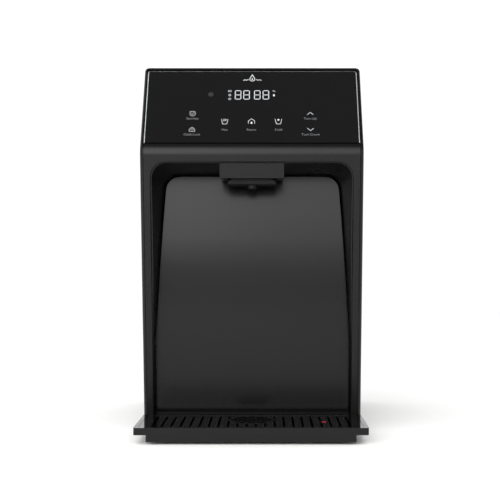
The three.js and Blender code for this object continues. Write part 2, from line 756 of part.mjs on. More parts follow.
function openTank(radius, high, wall) {
  return [[0, 0], [radius, 0], [radius, high], [radius - wall, high], [radius - wall, wall], [0, wall]];
}

const coldTank = () => at(turned(openTank(coldRadius, coldHigh, 1.2), 0, 0, 32), coldX, coldY, coldLowZ);

function coldTankLid() {
  const top = coldLowZ + coldHigh;
  const lid = rodZ(foamOuter, top + fit, top + 8, coldX, coldY, 32);
  const feed = rodZ(5.3, top - 5, top + 20, coldX, coldY + 26, 12);
  const draw = rodZ(5.3, top - 5, top + 20, coldX, coldY - 26, 12);
  return subtract(lid, feed, draw);
}

function evaporatorCoil() {
  const points = [];
  const turns = 5;
  const perTurn = 10;
  const radius = coldRadius + coilRadius + fit + 1.6;
  for (let i = 0; i <= turns * perTurn; i += 1) {
    const angle = (2 * Math.PI * i) / perTurn;
    const z = coldLowZ + 24 + (i * 11) / perTurn;
    points.push([coldX + radius * Math.cos(angle), coldY + radius * Math.sin(angle), z]);
  }
  return tube(points, coilRadius, 6, 62);
}

function halfJacket(x, y, inner, outer, z0, z1, side) {
  const ring = slabZ(circle(x, y, outer, 36), z0, z1, [circle(x, y, inner, 36)]);
  const half = block(
    side < 0 ? x - outer - 5 : x + fit / 2,
    side < 0 ? x - fit / 2 : x + outer + 5,
    y - outer - 5,
    y + outer + 5,
    z0 - 5,
    z1 + 5,
  );
  return intersect(ring, half);
}

const coldJacket = (side) =>
  halfJacket(coldX, coldY, coldRadius + 2 * coilRadius + 4, foamOuter, coldLowZ, coldLowZ + coldHigh, side);

// ---- Hot side -------------------------------------------------------------------------------------
const hotX = -66;
const hotY = 40;
const hotLowZ = 196;
const hotRadius = 38;
const hotHigh = 130;
const bandWall = 3;
const bandHigh = 40;
const hotFoam = 52;

function hotTank() {
  const tank = at(turned(openTank(hotRadius, hotHigh, 1.5), 0, 0, 32), hotX, hotY, hotLowZ);
  const roof = rodZ(hotRadius, hotLowZ + hotHigh - 1.5, hotLowZ + hotHigh, hotX, hotY, 32);
  const vent = rodZ(5, hotLowZ + hotHigh - 10, hotLowZ + hotHigh + 10, hotX, hotY, 12);
  return subtract(unite(tank, roof), vent);
}

function bandHeater() {
  const inner = hotRadius + fit;
  const outer = inner + bandWall;
  const z0 = hotLowZ + 12;
  const band = slabZ(circle(hotX, hotY, outer, 32), z0, z0 + bandHigh, [circle(hotX, hotY, inner, 32)]);
  const split = block(hotX - 4, hotX + 4, hotY - outer - 5, hotY, z0 - 5, z0 + bandHigh + 5);
  return subtract(band, split);
}

function hotJacket() {
  const inner = circle(hotX, hotY, hotRadius + fit + bandWall + 1, 36);
  return slabZ(circle(hotX, hotY, hotFoam, 36), hotLowZ, hotLowZ + hotHigh, [inner]);
}

const thermostat = () => rodZ(11, hotLowZ + hotHigh + fit, hotLowZ + hotHigh + 9, hotX, hotY - 20, 16);

// ---- Water way ------------------------------------------------------------------------------------
const valveY = shoulderY + 104;
const valveZ = 356;
const valveX = [-30, 0, 30];

function valve(x) {
  const bodyBlock = block(x - 9, x + 9, valveY - 14, valveY + 14, valveZ - 8, valveZ + 6);
  const coil = rodZ(10, valveZ + 5, valveZ + 30, x, valveY, 16);
  return unite(bodyBlock, coil);
}

function manifold() {
  const bar = block(-42, 42, valveY - 34, valveY - 14 - fit, valveZ - 8, valveZ + 6);
  const headZ = spoutTipZ + 40 + 2 * fit;
  const drop = block(-8, 8, spoutY, valveY - 20, headZ + 1, headZ + 10);
  const riser = block(-8, 8, valveY - 34, valveY - 20, headZ + 1, valveZ);
  const head = rodZ(9, headZ, headZ + 11, 0, spoutY, 16);
  const bore = rodZ(4, headZ - 5, headZ + 6, 0, spoutY, 12);
  return subtract(unite(bar, drop, riser, head), bore);
}

const hoseRadius = 4.5;
const hotTopZ = hotLowZ + hotHigh;
const coldTopZ = coldLowZ + coldHigh;

const hotHose = () => tube([
  [hotX, hotY, hotTopZ + fit + 0.5],
  [hotX, hotY, hotTopZ + 22],
  [hotX + 16, hotY - 26, hotTopZ + 30],
  [valveX[0], valveY + 26, valveZ - 1],
  [valveX[0], valveY + 14 + fit, valveZ - 1],
], hoseRadius, 8, 18);

const coldHose = () => tube([
  [coldX, coldY - 26, coldTopZ - 4],
  [coldX, coldY - 26, coldTopZ + 5],
  [coldX, coldY - 26, coldTopZ + 12],
  [coldX - 12, coldY - 36, coldTopZ + 20],
  [valveX[2], valveY + 26, valveZ - 1],
  [valveX[2], valveY + 14 + fit, valveZ - 1],
], hoseRadius, 8, 18);

const roomHose = () => tube([
  [waterX, rearFaceY - 32, waterZ + 32],
  [waterX, rearFaceY - 32, waterZ + 44],
  [-70, rearFaceY - 26, 130],
  [-108, rearFaceY - 38, 190],
  [-110, rearFaceY - 58, 300],
  [-60, 90, 368],
  [valveX[1], 24, 360],
  [valveX[1], valveY + 30, valveZ - 1],
  [valveX[1], valveY + 14 + fit, valveZ - 1],
], hoseRadius, 8, 36);

function inletValve() {
  const [y0, y1] = [rearFaceY - 42, rearFaceY - 16];
  const bodyBlock = block(waterX - 10, waterX + 10, y0, y1, waterZ - 10, waterZ + 12);
  const coil = rodZ(8, waterZ + 11, waterZ + 29, waterX, rearFaceY - 32, 16);
  return unite(bodyBlock, coil);
}

function waterInlet() {
  const r = waterRadius;
  const profile = [[3, 0], [r, 0], [r, 8], [13, 8.01], [13, 11], [r, 11.01], [r, 14], [6.5, 16]];
  profile.push([6.5, 23.5], [3, 23.5], [3, 0]);
  const fitting = new THREE.LatheGeometry(flat(profile), 20);
  return at(fitting, waterX, rearFaceY - skin - 8 - 3 - fit, waterZ);
}

function drainSpout(x) {
  const r = drainRadius;
  const profile = [[3.5, 0], [9.5, 0], [9.5, 6], [r, 6.01], [r, 16], [3.5, 16], [3.5, 0]];
  return at(new THREE.LatheGeometry(flat(profile), 20), x, rearFaceY - skin - 6 - fit, drainZ);
}

function drainCap(x) {
  const outer = [];
  const ribs = 12;
  for (let i = 0; i < ribs * 2; i += 1) {
    const angle = (Math.PI * i) / ribs;
    const radius = i % 2 ? 10.4 : 9.8;
    outer.push(new THREE.Vector2(x + radius * Math.cos(angle), drainZ + radius * Math.sin(angle)));
  }
  const cap = slabY(outer, rearFaceY + 0.6, rearFaceY + 10.6);
  return subtract(cap, rodY(drainRadius + fit, rearFaceY - 1, rearFaceY + 8.4, x, drainZ, 20));
}

// ---- Electrical -----------------------------------------------------------------------------------
function powerBoard() {
  const board = block(-60, 60, 60, 150, 392, 393.6);
  const parts = [block(-50, -20, 80, 110, 393, 415), block(0, 26, 76, 100, 393, 409)];
  parts.push(block(34, 52, 108, 140, 393, 413), rodZ(8, 393, 417, -10, 130, 16));
  return unite(board, ...parts);
}

const boardShelf = () => unite(
  block(-innerHalf + seam, innerHalf - seam, 50, 160, 384, 386),
  ...[[-54, 66], [54, 66], [-54, 144], [54, 144]].map(([x, y]) => rodZ(3, 385, 392 - fit, x, y, 12)),
);

function powerInlet() {
  const face = roundRect(inletX, inletZ, inletWide, inletHigh, 0.1, 1);
  const bodyBlock = slabY(face, rearFaceY - 22, rearFaceY + 0.5);
  const flange = slabY(roundRect(inletX, inletZ, 42, 26, 4, 2), rearFaceY + fit, rearFaceY + 3);
  const socket = slabY(roundRect(inletX, inletZ, 24, 16.5, 2, 2), rearFaceY - 16, rearFaceY + 9);
  const pins = [-7, 0, 7].map((x) => {
    const z = inletZ + (x === 0 ? 3 : -1);
    return block(inletX + x - 1, inletX + x + 1, rearFaceY - 17, rearFaceY - 2, z - 2, z + 2);
  });
  return unite(subtract(unite(bodyBlock, flange), socket), ...pins);
}

const rockerTilt = 8;

function switchBody(x) {
  const face = roundRect(x, switchZ, switchWide, switchHigh, 0.1, 1);
  const bodyBlock = slabY(face, rearFaceY - 20, rearFaceY + 0.5);
  const flange = slabY(roundRect(x, switchZ, 19, 25, 1.5, 2), rearFaceY + fit, rearFaceY + 2);
  const well = block(
    x - rockerWide / 2 - fit, x + rockerWide / 2 + fit, rearFaceY - 12, rearFaceY + 9,
    switchZ - rockerHigh / 2 - fit, switchZ + rockerHigh / 2 + fit,
  );
  return subtract(unite(bodyBlock, flange), well);
}

// The rocker is drawn level, with its pivot at the middle of the switch, then left tipped to one side.
function rocker(x) {
  const half = rockerHigh / 2 - 1.3;
  const outline = [[-4, -half * 0.6], [1.2, -half], [4, -half + 0.4], [2.4, 0], [4, half - 0.4]];
  outline.push([1.2, half], [-4, half * 0.6]);
  const cap = slabX(flat(outline), -rockerWide / 2 + 0.2, rockerWide / 2 - 0.2);
  return at(cap.rotateX(rockerTilt * deg), x, rearFaceY, switchZ);
}

// ---- Assembly -------------------------------------------------------------------------------------
const finish = {
  satinBlack: { color: 0x0d0d0e, roughness: 0.35, metalness: 0 },
  panelBlack: { color: 0x101012, roughness: 0.3, metalness: 0 },
  glassBlack: { color: 0x0a0a0b, roughness: 0.05, metalness: 0 },
  trayBlack: { color: 0x0b0b0c, roughness: 0.15, metalness: 0 },
  board: { color: 0x1c5a34, roughness: 0.5, metalness: 0 },
  display: { color: 0xe8e8e8, roughness: 0.4, metalness: 0 },
  rubber: { color: 0x151515, roughness: 0.85, metalness: 0 },
  silicone: { color: 0xdedede, roughness: 0.6, metalness: 0 },
  enamel: { color: 0x111111, roughness: 0.4, metalness: 0.2 },
  steel: { color: 0xb9bcc0, roughness: 0.3, metalness: 1 },
  copper: { color: 0xb87350, roughness: 0.35, metalness: 1 },
  brass: { color: 0xb89b55, roughness: 0.35, metalness: 1 },
  foam: { color: 0xe6e2d6, roughness: 0.95, metalness: 0 },
  natural: { color: 0xd8d8d4, roughness: 0.5, metalness: 0 },
  red: { color: 0xc41e2a, roughness: 0.4, metalness: 0 },
  green: { color: 0x1f8a3c, roughness: 0.4, metalness: 0 },
};

const dispenser = new THREE.Group();

function add(name, geometry, look) {
  const mesh = new THREE.Mesh(geometry, new THREE.MeshStandardMaterial(finish[look]));
  mesh.name = name;
  dispenser.add(mesh);
}

add("front_bezel", frontBezel(), "satinBlack");
add("alcove_liner", alcoveLiner(), "satinBlack");
add("splash_panel", splashPanel(), "panelBlack");
add("left_side_cover", sideCover(-1), "satinBlack");
add("right_side_cover", sideCover(1), "satinBlack");
add("top_cover", topCover(), "satinBlack");
add("rear_cover", rearCover(), "satinBlack");
add("base_pan", basePan(), "enamel");
add("control_glass", controlGlass(), "glassBlack");
add("panel_carrier", panelCarrier(), "satinBlack");
add("touch_board", touchBoard(), "board");
add("display_module", displayModule(), "display");
add("nozzle_cover", nozzleCover(), "satinBlack");
add("nozzle_lip", nozzleLip(), "satinBlack");
add("outlet_nozzle", outletNozzle(), "silicone");
add("uv_lamp", uvLamp(), "display");
add("drip_tray", dripTray(), "trayBlack");
add("drip_grille", dripGrille(), "trayBlack");
add("float_indicator", floatIndicator(), "red");
for (const [label, y] of [["front", footFrontY], ["rear", footRearY]]) {
  add(`foot_${label}_left`, foot(-footX, y), "rubber");
  add(`foot_${label}_right`, foot(footX, y), "rubber");
}
add("wall_spacer_left", wallSpacer(-1), "rubber");
add("wall_spacer_right", wallSpacer(1), "rubber");
add("compressor", compressor(), "enamel");
add("compressor_mount", compressorMount(), "rubber");
add("condenser_coil", condenserCoil(), "copper");
add("fan_shroud", fanShroud(), "satinBlack");
add("fan_rotor", fanRotor(), "satinBlack");
add("filter_drier", filterDrier(), "copper");
add("cold_tank", coldTank(), "steel");
add("cold_tank_lid", coldTankLid(), "natural");
add("evaporator_coil", evaporatorCoil(), "copper");
add("cold_jacket_left", coldJacket(-1), "foam");
add("cold_jacket_right", coldJacket(1), "foam");
add("hot_tank", hotTank(), "steel");
add("band_heater", bandHeater(), "steel");
add("hot_jacket", hotJacket(), "foam");
add("thermostat", thermostat(), "natural");
["hot_valve", "room_valve", "cold_valve"].forEach((name, i) => add(name, valve(valveX[i]), "natural"));
add("water_manifold", manifold(), "natural");
add("hot_hose", hotHose(), "silicone");
add("cold_hose", coldHose(), "silicone");
add("room_hose", roomHose(), "silicone");
add("inlet_valve", inletValve(), "natural");
add("water_inlet", waterInlet(), "brass");
["hot", "cold"].forEach((name, i) => {
  add(`${name}_drain_spout`, drainSpout(drainX[i]), "natural");
  add(`${name}_drain_cap`, drainCap(drainX[i]), "satinBlack");
});
add("board_shelf", boardShelf(), "steel");
add("power_board", powerBoard(), "board");
add("power_inlet", powerInlet(), "satinBlack");
add("heat_switch_body", switchBody(switchX[0]), "satinBlack");
add("cool_switch_body", switchBody(switchX[1]), "satinBlack");
add("heat_rocker", rocker(switchX[0]), "red");
add("cool_rocker", rocker(switchX[1]), "green");

export default dispenser;
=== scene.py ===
"""Looks of a countertop water dispenser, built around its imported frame.

Lengths are in metres. Drawings on the control glass, and names that end in _mm, are in millimetres.
"""

import json
import math

import bmesh
import bpy
from mathutils import Matrix, Vector


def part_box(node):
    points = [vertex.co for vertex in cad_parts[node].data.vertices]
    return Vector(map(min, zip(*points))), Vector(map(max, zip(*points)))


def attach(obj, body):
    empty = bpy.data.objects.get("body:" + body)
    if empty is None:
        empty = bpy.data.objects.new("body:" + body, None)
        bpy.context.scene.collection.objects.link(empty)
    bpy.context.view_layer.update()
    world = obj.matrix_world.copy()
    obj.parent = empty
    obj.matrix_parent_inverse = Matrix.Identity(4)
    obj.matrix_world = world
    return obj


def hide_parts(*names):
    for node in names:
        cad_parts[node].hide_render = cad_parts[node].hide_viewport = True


bl_info = {
    "name": "Countertop water dispenser",
    "version": (1, 0, 0),
    "blender": (4, 5, 0),
    "location": "View3D > Sidebar > Dispenser",
    "description": "Builds the visible pieces of a countertop water dispenser on its packed frame",
    "category": "Add Mesh",
}

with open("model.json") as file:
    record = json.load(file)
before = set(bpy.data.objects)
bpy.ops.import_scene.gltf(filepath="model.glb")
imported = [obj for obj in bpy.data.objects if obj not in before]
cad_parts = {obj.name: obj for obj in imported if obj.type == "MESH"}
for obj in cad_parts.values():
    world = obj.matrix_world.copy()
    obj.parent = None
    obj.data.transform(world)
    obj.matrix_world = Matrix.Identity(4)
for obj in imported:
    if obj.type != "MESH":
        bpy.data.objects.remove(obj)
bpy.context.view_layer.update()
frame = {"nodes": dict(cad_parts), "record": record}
MM = 0.001
MADE = {}  # the finishes by name, once they are made

# The display and the keys on the control glass, in millimetres. Heights are above the ground.
DISPLAY_Z = 400.0
UPPER_MARK_Z = 405.0
MIDDLE_MARK_Z = 399.8
LOWER_MARK_Z = 394.8
HEAD_MARK_Z = 421.5
SENSOR_X = -49.3
SENSOR_Z = 400.6
SENSOR_RADIUS = 3.2
KEYS = {  # key: its place across, its height, its word, and how far the word stands below it
    "sterilise": (-70.0, 376.0, "Sterilize", 6.4),
    "lock": (-70.0, 356.0, "Child Lock", 6.4),
    "hot": (-32.0, 366.0, "Hot", 10.4),
    "room": (-0.6, 366.0, "Room", 10.4),
    "cold": (31.0, 366.0, "Cold", 10.4),
    "up": (68.5, 376.0, "Turn Up", 6.4),
    "down": (68.5, 356.0, "Turn Down", 6.4),
}


# ---- Colours and shader nodes --------------------------------------------------------------------
def linear(code):
    """Turns an sRGB hex code such as "#1a2b3c" into three linear values."""
    parts = [int(code[i : i + 2], 16) / 255 for i in (1, 3, 5)]
    return tuple(c / 12.92 if c <= 0.04045 else ((c + 0.055) / 1.055) ** 2.4 for c in parts)


def add_node(tree, kind, inputs=None, **settings):
    """Adds one node, sets its settings, then fills its inputs with values or with links from sockets."""
    node = tree.nodes.new(kind)
    for name, value in settings.items():
        setattr(node, name, value)
    for key, value in (inputs or {}).items():
        if isinstance(value, bpy.types.NodeSocket):
            tree.links.new(value, node.inputs[key])
        else:
            node.inputs[key].default_value = value
    return node


def start_material(name):
    """An empty node material with its output, its Principled shader and the object's own coordinates."""
    material = bpy.data.materials.new(name)
    material.use_nodes = True
    tree = material.node_tree
    tree.nodes.clear()
    shader = add_node(tree, "ShaderNodeBsdfPrincipled")
    add_node(tree, "ShaderNodeOutputMaterial", {"Surface": shader.outputs[0]})
    place = add_node(tree, "ShaderNodeTexCoord").outputs["Object"]
    return material, tree, shader, place


def noise(tree, place, size_mm, detail, roughness):
    """A noise pattern whose lumps are about a given size."""
    settings = {"Vector": place, "Scale": 1 / (size_mm * MM), "Detail": detail, "Roughness": roughness}
    return add_node(tree, "ShaderNodeTexNoise", settings).outputs[0]


def surface(name, colours, roughness, cloud_mm, grain_mm, relief_mm, sockets=None, stretch=None):
    """A solid surface: two close colours and roughnesses clouded over it, and a fine grain in relief."""
    material, tree, shader, place = start_material(name)
    if stretch:
        mapping = {"Vector": place, "Scale": stretch}
        place = add_node(tree, "ShaderNodeMapping", mapping).outputs[0]
    cloud = noise(tree, place, cloud_mm, 3.0, 0.55)
    grain = noise(tree, place, grain_mm, 2.0, 0.6)
    low, high = (linear(c) if isinstance(c, str) else tuple(c) for c in colours)
    mixed = add_node(tree, "ShaderNodeMix", {0: cloud, 6: (*low, 1), 7: (*high, 1)}, data_type="RGBA")
    limits = {"Value": cloud, "To Min": roughness[0], "To Max": roughness[1]}
    spread = add_node(tree, "ShaderNodeMapRange", limits)
    relief = {"Height": grain, "Distance": relief_mm * MM, "Strength": 1.0}
    bump = add_node(tree, "ShaderNodeBump", relief)
    links = {"Base Color": mixed.outputs[2], "Roughness": spread.outputs[0], "Normal": bump.outputs[0]}
    for key, socket in links.items():
        tree.links.new(socket, shader.inputs[key])
    for key, value in (sockets or {}).items():
        shader.inputs[key].default_value = value
    return material


# ---- Sizes and colours a user may change ---------------------------------------------------------
def length(name, description, default_mm):
    """A length property whose default is given in millimetres."""
    limits = {"min": 0.0, "precision": 5, "unit": "LENGTH"}
    return bpy.props.FloatProperty(name=name, description=description, default=default_mm * MM, **limits)


def colour(name, description, code):
    """A colour property whose default comes from an sRGB hex code."""
    limits = {"default": linear(code), "min": 0.0, "max": 1.0, "size": 3, "subtype": "COLOR"}
    return bpy.props.FloatVectorProperty(name=name, description=description, **limits)


class DispenserSizes(bpy.types.PropertyGroup):
    """Sizes of the details that Blender adds to the frame."""

    opening_round: length("Opening rounding", "Rounding of the alcove opening's front edge", 0.9)
    cover_round: length("Cover rounding", "Rounding of the covers' outer edges", 0.5)
    wing_round: length("Wing rounding", "Rounding of the drip tray's outer lower corners", 2.5)
    glass_corner: length("Glass corner", "Radius of the control glass's upper corners", 3.0)
    glass_chamfer: length("Glass chamfer", "Ground chamfer round the control glass", 1.1)
    ink_height: length("Ink height", "Thickness of the printed symbols", 0.05)
    stroke: length("Stroke", "Line width of the printed symbols", 0.55)
    label_size: length("Label size", "Letter size of the key labels", 4.5)
    digit_width: length("Digit width", "Width of one display digit", 7.6)
    digit_height: length("Digit height", "Height of one display digit", 13.2)
    slot_pitch: length("Slot pitch", "Spacing of the drain slots", 10.5)
    slot_width: length("Slot width", "Width of one drain slot", 2.6)
    slot_length: length("Slot length", "Length of a whole drain slot", 77.0)
    slot_field: length("Slot field", "Distance between the two outer drain slots", 220.5)
    cell_pitch: length("Cell pitch", "Spacing of the honeycomb drain cells", 10.4)
    cell_across: length("Cell width", "Width across the flats of a honeycomb cell", 8.4)
    screw_radius: length("Screw radius", "Radius of the rear cover's screw heads", 3.4)


class DispenserColours(bpy.types.PropertyGroup):
    """Colours of the visible finishes."""

    shell: colour("Shell", "Satin covers and alcove", "#050506")
    panel: colour("Splash panel", "Semi-gloss splash panel", "#060607")
    tray: colour("Tray", "Gloss drip tray and grille", "#050506")
    glass: colour("Glass", "Back-painted control glass", "#040405")
    ink: colour("Ink", "Printed symbols", "#a8aaac")
    fine_ink: colour("Fine ink", "Printed words", "#747678")
    light: colour("Digits", "Lit display digits", "#f4f7fa")
    float_red: colour("Float", "Water level float", "#b01420")


# Black ABS with a matting additive throws back less straight on than clear plastic does.
PLASTIC_GLOSS = {"IOR": 1.45, "Specular IOR Level": 0.29}


def lit(material, tone, strength):
    """Makes a material give off some light of its own."""
    shader = material.node_tree.nodes["Principled BSDF"]
    shader.inputs["Emission Color"].default_value = (*tone, 1)
    shader.inputs["Emission Strength"].default_value = strength


def finishes():
    """Makes every finish once and returns them by name. A slot's finish has the slot's name."""
    if MADE:
        return MADE
    tones = bpy.context.scene.dispenser_colours
    metal = {"Metallic": 1.0}
    made = MADE
    # Injection-moulded ABS from a spark-eroded tool: a satin black with a fine even grain.
    made["satin_black"] = surface(
        "satin_moulded_abs", (tones.shell, "#070708"), (0.25, 0.3), 70, 0.5, 0.004, PLASTIC_GLOSS
    )
    # The same plastic from a finer tool: clearer reflections, blurred over a few centimetres.
    made["panel_black"] = surface(
        "semi_gloss_moulded_abs", (tones.panel, "#080809"), (0.2, 0.23), 90, 0.6, 0.002, PLASTIC_GLOSS
    )
    # ABS from a polished tool: mirror-like, with very slight waviness.
    made["tray_black"] = surface(
        "gloss_moulded_abs", (tones.tray, "#070708"), (0.06, 0.1), 60, 14, 0.006, PLASTIC_GLOSS
    )
    # Float glass, tempered and painted black behind: a sharp mirror with a faint roller wave.
    made["glass_black"] = surface(
        "back_painted_glass", (tones.glass, "#060607"), (0.015, 0.03), 120, 40, 0.004, {"IOR": 1.52}
    )
    # The glass's edge, ground with a fine wheel: frosted, with short grinding marks. Its pale colour is
    # partly the ground glass and partly painted highlight, standing in for the bright reflection along
    # the rim.
    made["ground_edge"] = surface(
        "ground_glass_edge", ("#a6aaad", "#bcc0c2"), (0.3, 0.42), 6, 0.3, 0.01, {"IOR": 1.52}
    )
    # Epoxy solder mask over glass cloth: a green film that shows the weave.
    made["board"] = surface("solder_mask_board", ("#174d2c", "#23683b"), (0.35, 0.5), 25, 0.8, 0.02)
    # White moulded polycarbonate light frame.
    made["display"] = surface("white_light_frame", ("#d9dbdc", "#ececeb"), (0.35, 0.45), 20, 0.6, 0.004)
    # Black of the spout and of the lip that shields it: darker than the shell's black, as painted shade
    # for the shade under the dispensing head, and rougher, so it throws back little light.
    made["shade_darkened_black"] = surface(
        "black_silicone", ("#030303", "#040404"), (0.42, 0.5), 2, 0.3, 0.002, PLASTIC_GLOSS
    )
    # Moulded rubber: matt, slightly dusty, with a soft grain.
    made["rubber"] = surface("moulded_rubber", ("#161616", "#242423"), (0.7, 0.88), 9, 0.7, 0.03)
    # Food-grade silicone: milky, soft sheen, light passes a little way in.
    reach = (0.004, 0.003, 0.003)
    milky = {"Subsurface Weight": 0.3, "Subsurface Radius": reach, "Subsurface Scale": 1.0}
    pale = ("#c9cac7", "#dcdcd8")
    made["silicone"] = surface("milky_silicone", pale, (0.38, 0.5), 14, 1.2, 0.008, milky)
    # Powder coat on sheet steel: orange-peel texture about a millimetre across.
    made["enamel"] = surface("black_powder_coat", ("#0f0f10", "#171718"), (0.35, 0.45), 30, 1.1, 0.03)
    # Stainless sheet, brushed along X: long fine scratches.
    brushed = (0.03, 1, 1)
    made["steel"] = surface(
        "brushed_stainless", ("#a9acaf", "#c6c8ca"), (0.22, 0.36), 4, 0.35, 0.004, metal, brushed
    )
    # Drawn copper tube, dulled by handling.
    made["copper"] = surface("drawn_copper", ("#8a4b33", "#b8704e"), (0.28, 0.5), 12, 0.8, 0.006, metal)
    # Turned brass: fine tool marks round the axis, slightly tarnished.
    made["brass"] = surface("turned_brass", ("#8b7038", "#b99a55"), (0.25, 0.42), 9, 0.4, 0.008, metal)
    # Moulded polystyrene: pale beads about 3 mm across, pressed together.
    made["foam"] = surface("bead_foam", ("#d8d3c4", "#efebe0"), (0.85, 0.98), 5, 3.0, 0.3)
    # Natural polypropylene: waxy off-white.
    waxy = ("#cfcfc9", "#dededa")
    made["natural"] = surface("natural_polypropylene", waxy, (0.38, 0.5), 16, 0.9, 0.01)
    # Through-coloured moulded plastics for the switches and the float.
    moulded = ((0.25, 0.35), 8, 0.5, 0.004)
    made["red"] = surface("red_moulded_plastic", (tones.float_red, "#c4202b"), *moulded)
    made["green"] = surface("green_moulded_plastic", ("#17742f", "#1f8a3c"), *moulded)
    # Zinc-plated screws, lightly scratched by the driver.
    made["zinc"] = surface("zinc_plated_steel", ("#3b3c3e", "#56585a"), (0.25, 0.4), 3, 0.4, 0.01, metal)
    # Screen-printed ceramic ink, lit softly from behind.
    made["ink"] = surface("screen_printed_ink", (tones.ink, "#c9cbcd"), (0.4, 0.5), 3, 0.3, 0.002)
    lit(made["ink"], tones.ink, 0.05)
    # The same ink printed as a fine half-tone for the small words, so they read dimmer.
    made["fine_ink"] = surface("half_tone_ink", (tones.fine_ink, "#7e8082"), (0.4, 0.5), 3, 0.3, 0.002)
    # Black flocked card of the stage.
    made["card"] = surface("black_flock", ("#050505", "#080808"), (0.9, 1.0), 40, 1.0, 0.05)
    # Smoked window of the light sensor.
    made["smoked"] = surface("smoked_window", ("#202224", "#2a2c2d"), (0.2, 0.3), 3, 0.5, 0.001)
    # Light-emitting display segments behind the glass.
    made["lit"] = surface("lit_segment", ("#8f9396", "#a5a9ac"), (0.3, 0.4), 2, 0.3, 0.001)
    lit(made["lit"], tones.light, 0.45)
    return made


# ---- Meshes --------------------------------------------------------------------------------------
def welded(node):
    """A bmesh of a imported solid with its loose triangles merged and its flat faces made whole."""
    source = frame["nodes"][node].data
    clean = bpy.data.meshes.new(node + "_welded")
    clean.from_pydata([v.co[:] for v in source.vertices], [], [p.vertices[:] for p in source.polygons])
    bm = bmesh.new()
    bm.from_mesh(clean)
    bpy.data.meshes.remove(clean)
    bmesh.ops.remove_doubles(bm, verts=bm.verts, dist=2e-6)
    bmesh.ops.dissolve_limit(bm, angle_limit=math.radians(0.3), verts=bm.verts, edges=bm.edges)
    return bm


def sharp_edges(bm, degrees=30.0, wanted=None):
    """The edges that turn by more than some degrees, and that pass a test if one is given."""
    bm.normal_update()
    limit = math.radians(degrees)
    found = [e for e in bm.edges if len(e.link_faces) == 2 and e.calc_face_angle(0.0) > limit]
    return [e for e in found if wanted is None or wanted(e)]


def rounded(bm, edges, radius, segments=2, material=-1):
    """Rounds edges by a radius."""
    shape = {"profile": 0.5, "affect": "EDGES", "clamp_overlap": True, "material": material}
    if edges:
        bmesh.ops.bevel(bm, geom=edges, offset=radius, segments=segments, **shape)


def settled(obj):
    """The object's mesh with its modifiers made real, after which the object is removed."""
    graph = bpy.context.evaluated_depsgraph_get()
    mesh = bpy.data.meshes.new_from_object(obj.evaluated_get(graph), depsgraph=graph)
    bpy.data.objects.remove(obj)
    return mesh


def linked(name, data):
    """A new object for a mesh, a text, a light or a camera, in the scene."""
    obj = bpy.data.objects.new(name, data)
    bpy.context.scene.collection.objects.link(obj)
    return obj


def smooth(mesh, sharp_degrees=32.0):
    """Smooth shading with flat faces kept flat beside their rounded edges."""
    mesh.shade_smooth()
    mesh.set_sharp_from_angle(angle=math.radians(sharp_degrees))
    obj = linked("shading", mesh)
    even = obj.modifiers.new("Even shading", "WEIGHTED_NORMAL")
    even.keep_sharp = True
    return settled(obj)


def piece(name, mesh, body, stands_for=()):
    """Puts a finished mesh in the scene, riding on a body of the frame."""
    obj = linked(name, mesh)
    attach(obj, body)
    if stands_for:
        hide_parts(*stands_for)
    return obj


def to_mesh(bm, name, *materials):
    """A mesh from a bmesh, with its materials."""
    mesh = bpy.data.meshes.new(name)
    bm.to_mesh(mesh)
    bm.free()
    for material in materials:
        mesh.materials.append(material)
    return mesh


def refined(node, slot, radius, segments=2, degrees=50.0, body="cabinet", finish=None):
    """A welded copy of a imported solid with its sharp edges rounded, standing for it.

    It has the finish of its slot, or the one named in `finish`.
    """
    bm = welded(node)
    rounded(bm, sharp_edges(bm, degrees), radius, segments)
    mesh = smooth(to_mesh(bm, node, finishes()[finish or slot]))
    return piece(node + "_shell", mesh, body, (node,))


def prism(bm, outline, high, low=0.0):
    """A closed prism in a bmesh over one flat outline."""
    bottom = [bm.verts.new((u, v, low)) for u, v in outline]
    top = [bm.verts.new((u, v, high)) for u, v in outline]
    bm.faces.new(list(reversed(bottom)))
    bm.faces.new(top)
    for i, corner in enumerate(bottom):
        j = (i + 1) % len(bottom)
        bm.faces.new((corner, bottom[j], top[j], top[i]))


def line(bm, points, width, high, closed=False):
    """A closed raised line in a bmesh along flat points, with mitred corners."""
    count = len(points)
    sides = []
    for i, (u, v) in enumerate(points):
        before = points[i - 1] if closed or i else points[0]
        after = points[(i + 1) % count] if closed or i + 1 < count else points[-1]
        ahead = Vector((after[0] - u, after[1] - v))
        behind = Vector((u - before[0], v - before[1]))
        ahead = (ahead if ahead.length > 0 else behind).normalized()
        behind = (behind if behind.length > 0 else ahead).normalized()
        along = (ahead + behind).normalized()
        across = Vector((-along.y, along.x))
        reach = width / 2 / max(0.4, abs(across.dot(Vector((-ahead.y, ahead.x)))))
        sides.append((Vector((u, v)) + across * reach, Vector((u, v)) - across * reach))
    rings = []
    for left, right in sides:
        corners = ((left, 0.0), (right, 0.0), (right, high), (left, high))
        rings.append([bm.verts.new((p.x, p.y, h)) for p, h in corners])
    spans = count if closed else count - 1
    for i in range(spans):
        one, two = rings[i], rings[(i + 1) % count]
        for k in range(4):
            bm.faces.new((one[k], two[k], two[(k + 1) % 4], one[(k + 1) % 4]))
    if not closed:
        bm.faces.new(list(reversed(rings[0])))
        bm.faces.new(rings[-1])


def circle(radius, count, cu=0.0, cv=0.0, start=0.0, turn=360.0):
    """Flat points round a circle or an arc."""
    spans = count if turn == 360.0 else count - 1
    angles = [math.radians(start + turn * i / spans) for i in range(count)]
    return [(cu + radius * math.cos(a), cv + radius * math.sin(a)) for a in angles]


def drop(radius, cu=0.0, cv=0.0):
    """The outline of a water drop, its tip upwards."""
    arc = circle(radius, 17, cu, cv, 150.0, 240.0)
    return [(cu, cv + radius * 2.1), *arc]


